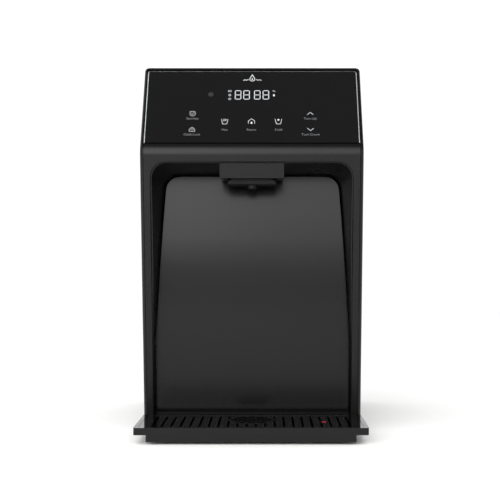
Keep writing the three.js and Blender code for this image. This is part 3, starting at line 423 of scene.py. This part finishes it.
# ---- Geometry node trees -------------------------------------------------------------------------
def start_tree(name, sockets):
    """A geometry tree with a geometry input and output and named number or material inputs."""
    tree = bpy.data.node_groups.new(name, "GeometryNodeTree")
    tree.interface.new_socket("Geometry", in_out="INPUT", socket_type="NodeSocketGeometry")
    for label, kind in sockets.items():
        tree.interface.new_socket(label, in_out="INPUT", socket_type=kind)
    tree.interface.new_socket("Geometry", in_out="OUTPUT", socket_type="NodeSocketGeometry")
    return tree, add_node(tree, "NodeGroupInput").outputs


def end_tree(tree, geometry, material):
    """Ends a tree in Realize Instances and Set Material."""
    real = add_node(tree, "GeometryNodeRealizeInstances", {"Geometry": geometry})
    given = {"Geometry": real.outputs[0], "Material": material}
    painted = add_node(tree, "GeometryNodeSetMaterial", given)
    add_node(tree, "NodeGroupOutput", {"Geometry": painted.outputs[0]})
    return tree


def grown(tree, mesh, values):
    """Runs a geometry tree on a mesh with its named inputs, and returns the plain mesh it makes."""
    obj = linked(tree.name, mesh)
    modifier = obj.modifiers.new("Pattern", "NODES")
    modifier.node_group = tree
    for item in tree.interface.items_tree:
        if item.item_type == "SOCKET" and item.in_out == "INPUT" and item.name in values:
            modifier[item.identifier] = values[item.name]
    return settled(obj)


def point_mesh(name, points, **fields):
    """A mesh of loose points with one float value per point for each field."""
    mesh = bpy.data.meshes.new(name)
    mesh.from_pydata(points, [], [])
    for field, values in fields.items():
        mesh.attributes.new(field, "FLOAT", "POINT").data.foreach_set("value", values)
    return mesh


def shifted(tree, geometry, axis, amount):
    """Moves a geometry along an axis by an amount, which may differ from point to point."""
    offset = add_node(tree, "ShaderNodeCombineXYZ", {axis: amount}).outputs[0]
    moved = add_node(tree, "GeometryNodeSetPosition", {"Geometry": geometry, "Offset": offset})
    return moved.outputs[0]


def grille_tree():
    """A flat plate with a rounded outline, pierced by a slot, a round hole or a hexagon at each point.

    Each point holds its hole's radius, how far its ends lie apart along Y, and its number of sides.
    """
    floats = ("Plate width", "Plate depth", "Corner radius", "Thickness", "Middle Y", "Base Z")
    sockets = {label: "NodeSocketFloat" for label in floats}
    tree, given = start_tree("Pierced plate", {**sockets, "Material": "NodeSocketMaterial"})

    def field(name):
        reader = add_node(tree, "GeometryNodeInputNamedAttribute", {"Name": name}, data_type="FLOAT")
        return reader.outputs[0]

    def times(one, two):
        return add_node(tree, "ShaderNodeMath", {0: one, 1: two}, operation="MULTIPLY").outputs[0]

    curves = []
    for sides, six in ((16, False), (6, True)):
        ring = add_node(tree, "GeometryNodeCurvePrimitiveCircle", {"Resolution": sides, "Radius": 1.0})
        turned = add_node(
            tree,
            "GeometryNodeTransform",
            {"Geometry": ring.outputs[0], "Rotation": (0.0, 0.0, math.pi / (6 if six else sides))},
        )
        where = add_node(tree, "GeometryNodeInputPosition")
        height = add_node(tree, "ShaderNodeSeparateXYZ", {0: where.outputs[0]}).outputs[1]
        side = add_node(tree, "ShaderNodeMath", {0: height}, operation="SIGN")
        marked = add_node(
            tree,
            "GeometryNodeStoreNamedAttribute",
            {"Geometry": turned.outputs[0], "Name": "side", "Value": side.outputs[0]},
            data_type="FLOAT",
            domain="POINT",
        )
        picked = add_node(
            tree,
            "FunctionNodeCompare",
            {0: field("sides"), 1: 6.5},
            data_type="FLOAT",
            operation="LESS_THAN" if six else "GREATER_THAN",
        )
        copies = add_node(
            tree,
            "GeometryNodeInstanceOnPoints",
            {
                "Points": given["Geometry"],
                "Selection": picked.outputs[0],
                "Instance": marked.outputs[0],
                "Scale": field("radius"),
            },
        )
        real = add_node(tree, "GeometryNodeRealizeInstances", {"Geometry": copies.outputs[0]})
        curves.append(shifted(tree, real.outputs[0], 1, times(field("side"), field("reach"))))
    rim = add_node(
        tree,
        "GeometryNodeCurvePrimitiveQuadrilateral",
        {"Width": given["Plate width"], "Height": given["Plate depth"]},
    )
    moved = shifted(tree, rim.outputs[0], 1, given["Middle Y"])
    corner = {"Curve": moved, "Count": 5, "Radius": given["Corner radius"]}
    corners = add_node(tree, "GeometryNodeFilletCurve", corner, mode="POLY")
    joined = add_node(tree, "GeometryNodeJoinGeometry")
    for curve in (corners.outputs[0], *curves):
        tree.links.new(curve, joined.inputs[0])
    filled = add_node(tree, "GeometryNodeFillCurve", {"Curve": joined.outputs[0]}, mode="NGONS")
    level = shifted(tree, filled.outputs[0], 2, given["Base Z"])
    thick = add_node(tree, "ShaderNodeCombineXYZ", {2: given["Thickness"]})
    raised = add_node(
        tree,
        "GeometryNodeExtrudeMesh",
        {"Mesh": level, "Offset": thick.outputs[0], "Individual": False},
        mode="FACES",
    )
    below = add_node(tree, "GeometryNodeFlipFaces", {"Mesh": level})
    both = add_node(tree, "GeometryNodeJoinGeometry")
    for part in (raised.outputs[0], below.outputs[0]):
        tree.links.new(part, both.inputs[0])
    closed = add_node(
        tree, "GeometryNodeMergeByDistance", {"Geometry": both.outputs[0], "Distance": 1e-6}
    )
    return end_tree(tree, closed.outputs[0], given["Material"])


def fixings_tree():
    """One copy of a template mesh at each point of the input."""
    sockets = {"Template": "NodeSocketObject", "Material": "NodeSocketMaterial"}
    tree, given = start_tree("Fixings", sockets)
    template = add_node(tree, "GeometryNodeObjectInfo", {"Object": given["Template"]})
    copies = add_node(
        tree,
        "GeometryNodeInstanceOnPoints",
        {"Points": given["Geometry"], "Instance": template.outputs["Geometry"]},
    )
    return end_tree(tree, copies.outputs[0], given["Material"])


def guard_tree():
    """Wire rings round the origin, one at each point, whose radius the point holds."""
    sockets = {"Wire radius": "NodeSocketFloat", "Material": "NodeSocketMaterial"}
    tree, given = start_tree("Wire guard", sockets)
    radius = add_node(tree, "GeometryNodeInputNamedAttribute", {"Name": "radius"}, data_type="FLOAT")
    ring = add_node(tree, "GeometryNodeCurvePrimitiveCircle", {"Resolution": 48, "Radius": 1.0})
    rings = add_node(
        tree,
        "GeometryNodeInstanceOnPoints",
        {
            "Points": given["Geometry"],
            "Instance": ring.outputs[0],
            "Scale": radius.outputs[0],
            "Rotation": (math.pi / 2, 0.0, 0.0),
        },
    )
    real = add_node(tree, "GeometryNodeRealizeInstances", {"Geometry": rings.outputs[0]})
    wire = add_node(
        tree, "GeometryNodeCurvePrimitiveCircle", {"Resolution": 8, "Radius": given["Wire radius"]}
    )
    solid = add_node(
        tree,
        "GeometryNodeCurveToMesh",
        {"Curve": real.outputs[0], "Profile Curve": wire.outputs[0], "Fill Caps": True},
    )
    return end_tree(tree, solid.outputs[0], given["Material"])


# ---- Where things are on the control glass -------------------------------------------------------
def glass_plane():
    """The glass's front: a matrix from (x, along the slope, out), half its width, and its height."""
    node = frame["nodes"]["control_glass"].data
    face = max((p for p in node.polygons if p.normal.y < -0.5), key=lambda p: p.area)
    out = face.normal.normalized()
    along = Vector((1.0, 0.0, 0.0)).cross(out) * -1.0
    if along.z < 0:
        along.negate()
    spots = [node.vertices[i].co for p in node.polygons if p.normal.dot(out) > 0.99 for i in p.vertices]
    start = min(s.dot(along) for s in spots)
    end = max(s.dot(along) for s in spots)
    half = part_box("control_glass")[1].x
    origin = spots[0] - along * (spots[0].dot(along) - start)
    origin.x = 0.0
    matrix = Matrix((Vector((1.0, 0.0, 0.0)), along, out)).transposed().to_4x4()
    matrix.translation = origin
    return matrix, half, end - start


def slope_at(z_mm):
    """How far along the glass's slope a height is, both in millimetres."""
    matrix = glass_plane()[0]
    along = matrix.to_3x3() @ Vector((0.0, 1.0, 0.0))
    return (z_mm * MM - matrix.translation.z) / along.z / MM


def on_glass(bm, name, finish):
    """Lays a drawing in millimetres on the glass, as a piece of its own."""
    mesh = to_mesh(bm, name, finishes()[finish])
    mesh.transform(glass_plane()[0] @ Matrix.Scale(MM, 4))
    piece(name, mesh, "cabinet")


# ---- Operators -----------------------------------------------------------------------------------
class DISPENSER_OT_covers(bpy.types.Operator):
    """Front bezel with its rounded opening, side covers and top cover"""

    bl_idname = "dispenser.covers"
    bl_label = "Covers"

    def execute(self, context):
        sizes = context.scene.dispenser_sizes
        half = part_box("alcove_liner")[1].x

        def on_opening(edge):
            one, two = (f.normal for f in edge.link_faces)
            front, wall = sorted((one, two), key=lambda n: n.y)
            middle = (edge.verts[0].co + edge.verts[1].co) / 2
            return front.y < -0.7 and abs(wall.y) < 0.3 and abs(middle.x) < half - 2 * MM

        bm = welded("front_bezel")
        rounded(bm, sharp_edges(bm, 30.0, on_opening), sizes.opening_round, 5)
        mesh = smooth(to_mesh(bm, "front_bezel", finishes()["satin_black"]))
        piece("front_bezel_shell", mesh, "cabinet", ("front_bezel",))
        for node in ("left_side_cover", "right_side_cover", "top_cover"):
            refined(node, "satin_black", sizes.cover_round, 2)
        return {"FINISHED"}


class DISPENSER_OT_alcove(bpy.types.Operator):
    """Alcove liner and bowed splash panel"""

    bl_idname = "dispenser.alcove"
    bl_label = "Alcove"

    def execute(self, context):
        sizes = context.scene.dispenser_sizes
        refined("alcove_liner", "satin_black", sizes.cover_round, 2)
        refined("splash_panel", "panel_black", sizes.cover_round, 2)
        return {"FINISHED"}


class DISPENSER_OT_glass(bpy.types.Operator):
    """Control glass with rounded upper corners and a ground chamfer"""

    bl_idname = "dispenser.glass"
    bl_label = "Control glass"

    def execute(self, context):
        sizes = context.scene.dispenser_sizes
        matrix, half, high = glass_plane()
        corner = sizes.glass_corner
        outline = [(-half, 0.0), (half, 0.0)]
        outline += circle(corner, 7, half - corner, high - corner, 0.0, 90.0)
        outline += circle(corner, 7, corner - half, high - corner, 90.0, 90.0)
        bm = bmesh.new()
        prism(bm, outline, 0.0, -3.0 * MM)

        def front_rim(edge):
            heights = [v.co.z for v in edge.verts]
            level = min(heights) > -1e-6
            return level and max(v.co.y for v in edge.verts) > MM

        # The chamfer takes the second finish, the ground edge, whose pale colour is partly painted
        # highlight.
        rounded(bm, sharp_edges(bm, 60.0, front_rim), sizes.glass_chamfer, 1, 1)
        mesh = to_mesh(bm, "control_glass", finishes()["glass_black"], finishes()["ground_edge"])
        mesh.transform(matrix)
        piece("control_glass_pane", smooth(mesh, 20.0), "cabinet", ("control_glass",))
        return {"FINISHED"}


def key_symbols(bm, stroke, high):
    """Draws the printed key symbols into a bmesh, in millimetres on the glass."""
    place = {name: (x, slope_at(z)) for name, (x, z, _, _) in KEYS.items()}

    def path(name, points, closed=False, width=stroke):
        cu, cv = place[name]
        line(bm, [(cu + u, cv + v) for u, v in points], width, high, closed)

    def fill(name, outline):
        cu, cv = place[name]
        prism(bm, [(cu + u, cv + v) for u, v in outline], high)

    cup = [(-3.9, 3.5), (-2.5, -3.6), (2.5, -3.6), (3.9, 3.5)]
    path("hot", cup)
    for u in (-1.1, 1.1):
        path("hot", [(u, 3.6), (u + 0.5, 2.6), (u - 0.3, 1.6), (u + 0.2, 0.7)], width=0.6)
    path("cold", cup)
    fill("cold", circle(1.2, 12, 0.0, 2.3))
    path("room", [(-3.7, -3.0), (-3.7, 0.8), (0.0, 3.8), (3.7, 0.8), (3.7, -3.0)])
    fill("room", drop(1.15, 0.0, -2.2))
    path("up", [(-3.6, -1.6), (0.0, 1.7), (3.6, -1.6)])
    path("down", [(-3.6, 1.6), (0.0, -1.7), (3.6, 1.6)])
    thin = 0.7 * stroke
    path("lock", [(-3.2, -2.8), (3.2, -2.8), (3.2, 0.6), (-3.2, 0.6)], True, thin)
    path("lock", circle(1.9, 9, 0.0, 1.0, 0.0, 180.0), width=thin)
    fill("lock", circle(0.4, 8, 0.0, -1.1))
    path("sterilise", circle(3.3, 20), True, thin)
    path("sterilise", [(-1.6, 0.0), (-0.4, -1.3), (1.7, 1.3)], width=thin)
    for angle in (45.0, 135.0):
        a = math.radians(angle)
        path("sterilise", [(u * math.cos(a), u * math.sin(a)) for u in (3.3, 4.4)], width=thin)


def head_mark(bm, high):
    """Draws a water drop over a wave, at the top of the glass."""
    cv = slope_at(HEAD_MARK_Z)
    line(bm, drop(3.0, 0.0, cv - 0.8), 0.8, high, True)
    prism(bm, drop(0.9, 0.0, cv - 1.1), high)
    wave = [(4.6 + 6.4 * i / 12, cv - 2.2 + 0.75 * math.sin(math.tau * i / 6)) for i in range(13)]
    for side in (-1, 1):
        line(bm, [(side * u, v) for u, v in wave], 0.6, high)


def indicators(bm, high):
    """Draws the small state marks beside the digits."""
    left, right = -26.7, 25.9
    cv = slope_at(UPPER_MARK_Z)
    for u in (-1.5, 0.0, 1.5):
        line(bm, [(left + u, cv - 1.2), (left + u, cv + 1.2)], 0.6, high)
    for z in (MIDDLE_MARK_Z, LOWER_MARK_Z):
        ring = (12, left, slope_at(z))
        line(bm, circle(1.4, *ring), 0.4, high, True)
        prism(bm, circle(0.4, 8, *ring[1:]), high)
    zigzag = [(-1.7, 0.0), (-0.6, 0.8), (0.6, -0.8), (1.7, 0.0)]
    line(bm, [(right + u, cv + v) for u, v in zigzag], 0.45, high)
    prism(bm, drop(1.2, right, slope_at(MIDDLE_MARK_Z) - 0.7), high)


class DISPENSER_OT_symbols(bpy.types.Operator):
    """Printed key symbols, state marks, water mark and the light sensor's window"""

    bl_idname = "dispenser.symbols"
    bl_label = "Symbols"

    def execute(self, context):
        sizes = context.scene.dispenser_sizes
        high = sizes.ink_height / MM
        bm = bmesh.new()
        key_symbols(bm, sizes.stroke / MM, high)
        head_mark(bm, high)
        indicators(bm, high)
        bmesh.ops.recalc_face_normals(bm, faces=bm.faces)
        on_glass(bm, "key_symbols", "ink")
        bm = bmesh.new()
        prism(bm, circle(SENSOR_RADIUS, 28, SENSOR_X, slope_at(SENSOR_Z)), high)
        on_glass(bm, "sensor_window", "smoked")
        return {"FINISHED"}


class DISPENSER_OT_labels(bpy.types.Operator):
    """Plain words under the keys"""

    bl_idname = "dispenser.labels"
    bl_label = "Key labels"

    def execute(self, context):
        sizes = context.scene.dispenser_sizes
        bm = bmesh.new()
        for x, z, word, below in KEYS.values():
            text = bpy.data.curves.new(word, "FONT")
            text.body = word
            text.size = sizes.label_size
            text.align_x, text.align_y = "CENTER", "CENTER"
            text.resolution_u = 3
            text.extrude = sizes.ink_height / 2
            text.offset = -0.07 * MM
            mesh = settled(linked(word, text))
            place = (x * MM, slope_at(z - below) * MM, sizes.ink_height / 2)
            mesh.transform(Matrix.Translation(place))
            bm.from_mesh(mesh)
        bmesh.ops.remove_doubles(bm, verts=bm.verts, dist=1e-6)
        mesh = to_mesh(bm, "key_labels", finishes()["fine_ink"])
        mesh.transform(glass_plane()[0])
        piece("key_labels", mesh, "cabinet")
        return {"FINISHED"}


class DISPENSER_OT_digits(bpy.types.Operator):
    """Four lit seven-segment digits"""

    bl_idname = "dispenser.digits"
    bl_label = "Display digits"

    def execute(self, context):
        sizes = context.scene.dispenser_sizes
        high = sizes.ink_height / MM
        bar, gap = 0.85, 0.3
        wide, tall = sizes.digit_width / MM - bar, sizes.digit_height / MM - bar
        cv = slope_at(DISPLAY_Z)
        bm = bmesh.new()

        def segment(u, v, half, upright):
            end = half - bar / 2
            tips = [(-half, 0.0), (-end, -bar / 2), (end, -bar / 2)]
            tips += [(half, 0.0), (end, bar / 2), (-end, bar / 2)]
            if upright:
                tips = [(-q, p) for p, q in tips]
            prism(bm, [(u + p, v + q) for p, q in tips], high)

        for cu in (-16.8, -6.7, 6.0, 16.3):
            for level in (-1, 0, 1):
                segment(cu, cv + level * tall / 2, wide / 2 - gap, False)
            for side in (-1, 1):
                for level in (-1, 1):
                    segment(cu + side * wide / 2, cv + level * tall / 4, tall / 4 - gap, True)
        on_glass(bm, "display_digits", "lit")
        return {"FINISHED"}


class DISPENSER_OT_nozzle(bpy.types.Operator):
    """Dispensing head, its lip, the silicone nozzle and the sterilising lamp"""

    bl_idname = "dispenser.nozzle"
    bl_label = "Dispensing head"

    def execute(self, context):
        refined("nozzle_cover", "satin_black", 0.6 * MM, 3)
        # The lip and the spout take the darker black: painted shade for the shade under the head.
        refined("nozzle_lip", "satin_black", 0.8 * MM, 3, finish="shade_darkened_black")
        refined("outlet_nozzle", "rubber", 0.5 * MM, 2, finish="shade_darkened_black")
        refined("uv_lamp", "display", 0.6 * MM, 2)
        return {"FINISHED"}


class DISPENSER_OT_tray(bpy.types.Operator):
    """Gloss drip tray with rounded rim, and the red level float"""

    bl_idname = "dispenser.tray"
    bl_label = "Drip tray"

    def execute(self, context):
        sizes = context.scene.dispenser_sizes
        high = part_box("drip_tray")[1]

        def wing_corner(edge):
            one, two = (v.co for v in edge.verts)
            outer = min(abs(one.x), abs(two.x)) > high.x - 0.1 * MM
            level = abs(one.z - two.z) < 0.1 * MM
            return outer and level and max(one.z, two.z) < high.z - MM

        bm = welded("drip_tray")
        rounded(bm, sharp_edges(bm, 50.0, wing_corner), sizes.wing_round, 5)
        rounded(bm, sharp_edges(bm, 50.0), 0.5 * MM, 3)
        mesh = smooth(to_mesh(bm, "drip_tray", finishes()["tray_black"]))
        piece("drip_tray_shell", mesh, "tray", ("drip_tray",))
        refined("float_indicator", "red", 0.4 * MM, 2, body="float")
        return {"FINISHED"}


def grille_holes(sizes):
    """Centres, radii, half lengths and side counts of every opening in the grille, in metres."""
    low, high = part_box("float_indicator")
    float_x, float_y = (low.x + high.x) / 2, (low.y + high.y) / 2
    low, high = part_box("drip_grille")
    middle = (low.y + high.y) / 2 - 3 * MM
    cluster_y = float_y + 16 * MM
    cluster = sizes.cell_pitch * 2.5
    half_slot = sizes.slot_length / 2
    clear = 1.8 * MM  # from a slot's end to the cells
    float_gap = 6.1 * MM  # from the float's middle to a slot's end
    float_hole = 2.9 * MM
    holes = []

    def slot(x, y0, y1):
        if y1 - y0 > sizes.slot_width * 1.5:
            radius = sizes.slot_width / 2
            holes.append(((x, (y0 + y1) / 2, 0.0), radius, (y1 - y0) / 2 - radius, 16.0))

    columns = round(sizes.slot_field / sizes.slot_pitch)
    for i in range(columns + 1):
        x = sizes.slot_field * (i / columns - 0.5)
        if abs(x - float_x) < sizes.slot_pitch / 2:
            slot(x, middle - half_slot, float_y - float_gap)
            slot(x, float_y + float_gap, middle + half_slot)
        elif abs(x) < cluster + MM:
            spare = max(0.0, cluster**2 - x**2)
            reach = max(5 * MM, math.sqrt(spare) + 3 * MM) + clear
            slot(x, middle - half_slot, cluster_y - reach)
            slot(x, cluster_y + reach, middle + half_slot)
        else:
            slot(x, middle - half_slot, middle + half_slot)
    for q in range(-2, 3):
        for r in range(-2, 3):
            if abs(q + r) <= 2:
                x = sizes.cell_pitch * (q + r / 2)
                y = cluster_y + sizes.cell_pitch * r * math.sqrt(3) / 2
                holes.append(((x, y, 0.0), sizes.cell_across / math.sqrt(3), 0.0, 6.0))
    holes.append(((float_x, float_y, 0.0), float_hole, 0.0, 16.0))
    return holes


class DISPENSER_OT_grille(bpy.types.Operator):
    """Drip grille: a plate pierced by drain slots, a honeycomb and the float's hole"""

    bl_idname = "dispenser.grille"
    bl_label = "Drip grille"

    def execute(self, context):
        sizes = context.scene.dispenser_sizes
        holes = grille_holes(sizes)
        points = point_mesh(
            "grille_points",
            [h[0] for h in holes],
            radius=[h[1] for h in holes],
            reach=[h[2] for h in holes],
            sides=[h[3] for h in holes],
        )
        low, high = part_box("drip_grille")
        values = {
            "Plate width": high.x - low.x,
            "Plate depth": high.y - low.y,
            "Corner radius": 1.8 * MM,
            "Thickness": high.z - low.z,
            "Middle Y": (low.y + high.y) / 2,
            "Base Z": low.z,
            "Material": finishes()["tray_black"],
        }
        plate = grown(grille_tree(), points, values)
        bm = bmesh.new()
        bm.from_mesh(plate)
        top = high.z - 1e-6

        def upper(edge):
            return all(v.co.z > top for v in edge.verts)

        rounded(bm, sharp_edges(bm, 60.0, upper), 0.35 * MM, 2)
        mesh = smooth(to_mesh(bm, "grille", finishes()["tray_black"]), 40.0)
        piece("drip_grille_plate", mesh, "grille", ("drip_grille",))
        return {"FINISHED"}


class DISPENSER_OT_back(bpy.types.Operator):
    """Rear cover, its connections, switches, spacers and feet"""

    bl_idname = "dispenser.back"
    bl_label = "Back and feet"

    def execute(self, context):
        sizes = context.scene.dispenser_sizes

        def part(node, slot, radius, segments=2, body="cabinet"):
            refined(node, slot, radius, segments, 60.0, body)

        part("rear_cover", "satin_black", 0.4 * MM)
        part("power_inlet", "satin_black", 0.4 * MM)
        part("water_inlet", "brass", 0.3 * MM)
        for side in ("left", "right"):
            part(f"wall_spacer_{side}", "rubber", sizes.cover_round * 2, 3)
            for end in ("front", "rear"):
                part(f"foot_{end}_{side}", "rubber", 0.5 * MM)
        for kind, slot in (("heat", "red"), ("cool", "green")):
            part(f"{kind}_switch_body", "satin_black", 0.3 * MM)
            part(f"{kind}_rocker", slot, 0.4 * MM, body=f"{kind}_key")
        for kind in ("hot", "cold"):
            part(f"{kind}_drain_spout", "natural", 0.3 * MM)
            part(f"{kind}_drain_cap", "satin_black", 0.5 * MM, body=f"{kind}_cap")
        return {"FINISHED"}


def screw_head(radius):
    """A pan-head screw with a cross recess, its axis along Y, standing on y = 0."""
    bm = bmesh.new()
    rings = []
    count = 20
    for share, lift in ((1.0, 0.0), (1.0, 0.25), (0.9, 0.5), (0.62, 0.62), (0.5, 0.64)):
        rings.append([bm.verts.new((u, lift * radius, v)) for u, v in circle(radius * share, count)])
    for one, two in zip(rings, rings[1:]):
        for i in range(count):
            j = (i + 1) % count
            bm.faces.new((one[i], one[j], two[j], two[i]))
    recess = [bm.verts.new((u, 0.3 * radius, v)) for u, v in circle(radius * 0.22, count)]
    for i, corner in enumerate(rings[-1]):
        if i % 5:  # between the four arms of the cross
            corner.co.x *= 0.62
            corner.co.z *= 0.62
        j = (i + 1) % count
        bm.faces.new((corner, rings[-1][j], recess[j], recess[i]))
    bm.faces.new(recess)
    bm.faces.new(list(reversed(rings[0])))
    bmesh.ops.recalc_face_normals(bm, faces=bm.faces)
    return to_mesh(bm, "screw")


def spread(name, template_mesh, points, finish, body="cabinet"):
    """One plain mesh of a template copied to each point by a geometry tree."""
    template = linked("template", template_mesh)
    values = {"Template": template, "Material": finishes()[finish]}
    mesh = grown(fixings_tree(), point_mesh(name + "_points", points), values)
    bpy.data.objects.remove(template)
    return piece(name, smooth(mesh), body)


class DISPENSER_OT_fixings(bpy.types.Operator):
    """Screws of the rear cover"""

    bl_idname = "dispenser.fixings"
    bl_label = "Rear screws"

    def execute(self, context):
        radius = context.scene.dispenser_sizes.screw_radius
        low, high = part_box("rear_cover")
        edge = high.x - 7 * MM
        heights = (low.z + 8 * MM, 145 * MM, 285 * MM, high.z - 34 * MM)
        points = [(side * edge, high.y, z) for z in heights for side in (-1, 1)]
        spread("rear_screws", screw_head(radius), points, "zinc")
        return {"FINISHED"}


def blade(width, drop_mm, reach_mm):
    """A sloping louvre blade hanging from the top of its slot inwards, 0.9 mm thick."""
    bm = bmesh.new()
    profile = [(-0.4, 0.0), (-reach_mm, -drop_mm), (-reach_mm - 0.5, -drop_mm + 0.75), (-0.4, 0.9)]
    loops = [[bm.verts.new((x, y * MM, z * MM)) for y, z in profile] for x in (-width / 2, width / 2)]
    for i in range(4):
        j = (i + 1) % 4
        bm.faces.new((loops[0][i], loops[0][j], loops[1][j], loops[1][i]))
    bm.faces.new(list(reversed(loops[0])))
    bm.faces.new(loops[1])
    bmesh.ops.recalc_face_normals(bm, faces=bm.faces)
    return to_mesh(bm, "blade")


class DISPENSER_OT_louvres(bpy.types.Operator):
    """Sloping blades behind the rear cover's slots"""

    bl_idname = "dispenser.louvres"
    bl_label = "Louvre blades"

    def execute(self, context):
        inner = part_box("rear_cover")[0].y
        rows = [(202.6 + 16 * i) * MM for i in range(12)]
        points = [(side * 60 * MM, inner, z) for z in rows for side in (-1, 1)]
        spread("louvre_blades", blade(84 * MM, 6.5, 5.5), points, "satin_black")
        return {"FINISHED"}


class DISPENSER_OT_guard(bpy.types.Operator):
    """Wire guard between the fan and the rear cover"""

    bl_idname = "dispenser.guard"
    bl_label = "Fan guard"

    def execute(self, context):
        low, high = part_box("fan_rotor")
        centre = (low + high) / 2
        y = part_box("rear_cover")[0].y - 1.4 * MM
        radii = [r * MM for r in (10, 17, 24, 31, 38)]
        points = point_mesh("guard_points", [(centre.x, y, centre.z)] * len(radii), radius=radii)
        values = {"Wire radius": 0.8 * MM, "Material": finishes()["zinc"]}
        mesh = smooth(grown(guard_tree(), points, values), 60.0)
        piece("fan_guard", mesh, "cabinet")
        return {"FINISHED"}


class DISPENSER_OT_inside(bpy.types.Operator):
    """Finishes of the parts inside, which show only through the vents"""

    bl_idname = "dispenser.inside"
    bl_label = "Inner parts"

    def execute(self, context):
        slots = {row["node"]: row["material_slot"] for row in frame["record"]["subparts"]}
        for name, obj in frame["nodes"].items():
            if not obj.material_slots:
                obj.data.materials.append(None)
            for holder in obj.material_slots:
                holder.material = finishes()[slots[name]]
        return {"FINISHED"}


# ---- Stage ---------------------------------------------------------------------------------------
def area_light(name, place, target, size, radiance, glossy=True):
    """A soft rectangular light of a given radiance, aimed at a point."""
    data = bpy.data.lights.new(name, "AREA")
    data.shape = "RECTANGLE"
    data.size, data.size_y = size
    data.energy = radiance * math.pi * size[0] * size[1]
    lamp = linked(name, data)
    lamp.location = place
    lamp.rotation_euler = (Vector(target) - Vector(place)).to_track_quat("-Z", "Y").to_euler()
    lamp.visible_glossy = glossy
    lamp.visible_camera = False


class DISPENSER_OT_stage(bpy.types.Operator):
    """Camera, pale floor, soft lights and a plain pale surround"""

    bl_idname = "dispenser.stage"
    bl_label = "Stage"

    def execute(self, context):
        scene = context.scene
        scene.view_settings.view_transform = "Standard"
        camera = bpy.data.cameras.new("camera")
        camera.sensor_width = 36.0
        camera.lens = 74.74
        camera.shift_x, camera.shift_y = -0.033, 0.026
        camera.clip_start, camera.clip_end = 0.05, 100.0
        view = linked("camera", camera)
        view.location = (0.017, -1.332, 0.2)
        view.rotation_euler = (math.pi / 2, 0.0, 0.0)
        scene.camera = view

        bm = bmesh.new()
        bmesh.ops.create_grid(bm, x_segments=8, y_segments=8, size=3.0)
        floor = linked("floor", to_mesh(bm, "floor", floor_finish()))

        area_light("front_softbox", (-0.7, -2.6, 1.18), (-0.7, -0.1, 0.25), (3.0, 1.63), 2.6)
        area_light("left_softbox", (-1.2, -2.65, 1.2), (-1.2, -0.1, 0.25), (2.2, 1.63), 1.3)
        area_light("overhead", (0.0, 0.0, 3.2), (0.0, 0.0, 0.0), (9.0, 9.0), 1.0, False)
        area_light("left_panel", (-2.2, -1.0, 0.7), (0.0, -0.1, 0.35), (1.6, 1.4), 3.0, False)
        black_flag((1.77, 0.3, 1.2), (0.126, -0.1, 0.38), (1.2, 1.0))
        surround(scene)
        return {"FINISHED"}


def black_flag(place, target, size):
    """A matt black card seen only in reflections, which keeps the glass's right edge dim."""
    bm = bmesh.new()
    bmesh.ops.create_grid(bm, x_segments=2, y_segments=2, size=0.5)
    turn = (Vector(target) - Vector(place)).to_track_quat("-Z", "Y").to_matrix().to_4x4()
    scale = Matrix.Diagonal((*size, 1.0, 1.0))
    bm.transform(Matrix.Translation(place) @ turn @ scale)
    card = linked("black_flag", to_mesh(bm, "black_flag", finishes()["card"]))
    card.visible_camera = False
    card.visible_diffuse = False
    card.visible_shadow = False


def floor_finish():
    """Matt white painted board."""
    return surface("matt_white_board", ("#f4f4f3", "#f8f8f7"), (0.55, 0.65), 400, 1.5, 0.01)


def surround(scene):
    """A pale surround: white round the horizon and dimmer overhead, like a white room's dark ceiling."""
    world = bpy.data.worlds.new("surround")
    world.use_nodes = True
    scene.world = world
    tree = world.node_tree
    tree.nodes.clear()
    facing = add_node(tree, "ShaderNodeTexCoord").outputs["Generated"]
    height = add_node(tree, "ShaderNodeSeparateXYZ", {0: facing}).outputs[2]
    ramp = add_node(
        tree,
        "ShaderNodeMapRange",
        {"Value": height, "From Min": 0.3, "From Max": 0.8, "To Min": 1.05, "To Max": 0.24},
        interpolation_type="SMOOTHSTEP",
    )
    background = add_node(
        tree, "ShaderNodeBackground", {"Color": (1.0, 1.0, 1.0, 1.0), "Strength": ramp.outputs[0]}
    )
    add_node(tree, "ShaderNodeOutputWorld", {"Surface": background.outputs[0]})


# ---- Sidebar and registration --------------------------------------------------------------------
OPERATORS = (
    DISPENSER_OT_inside,
    DISPENSER_OT_covers,
    DISPENSER_OT_alcove,
    DISPENSER_OT_glass,
    DISPENSER_OT_symbols,
    DISPENSER_OT_labels,
    DISPENSER_OT_digits,
    DISPENSER_OT_nozzle,
    DISPENSER_OT_tray,
    DISPENSER_OT_grille,
    DISPENSER_OT_back,
    DISPENSER_OT_fixings,
    DISPENSER_OT_louvres,
    DISPENSER_OT_guard,
    DISPENSER_OT_stage,
)


class DISPENSER_PT_sidebar(bpy.types.Panel):
    """Sizes, colours and steps of the dispenser"""

    bl_idname = "DISPENSER_PT_sidebar"
    bl_label = "Water dispenser"
    bl_space_type = "VIEW_3D"
    bl_region_type = "UI"
    bl_category = "Dispenser"

    def draw(self, context):
        layout = self.layout
        for group in (context.scene.dispenser_sizes, context.scene.dispenser_colours):
            box = layout.box()
            for name in group.__annotations__:
                box.prop(group, name)
        for step in OPERATORS:
            layout.operator(step.bl_idname)


CLASSES = (DispenserSizes, DispenserColours, *OPERATORS, DISPENSER_PT_sidebar)


def register():
    """Registers the classes and hangs the settings on the scene."""
    for cls in CLASSES:
        bpy.utils.register_class(cls)
    bpy.types.Scene.dispenser_sizes = bpy.props.PointerProperty(type=DispenserSizes)
    bpy.types.Scene.dispenser_colours = bpy.props.PointerProperty(type=DispenserColours)


def unregister():
    """Takes the settings and the classes away again."""
    del bpy.types.Scene.dispenser_colours
    del bpy.types.Scene.dispenser_sizes
    for cls in reversed(CLASSES):
        bpy.utils.unregister_class(cls)


def main():
    """Builds everything in order."""
    register()
    for step in OPERATORS:
        group, name = step.bl_idname.split(".")
        getattr(getattr(bpy.ops, group), name)()


if __name__ == "__main__":
    main()
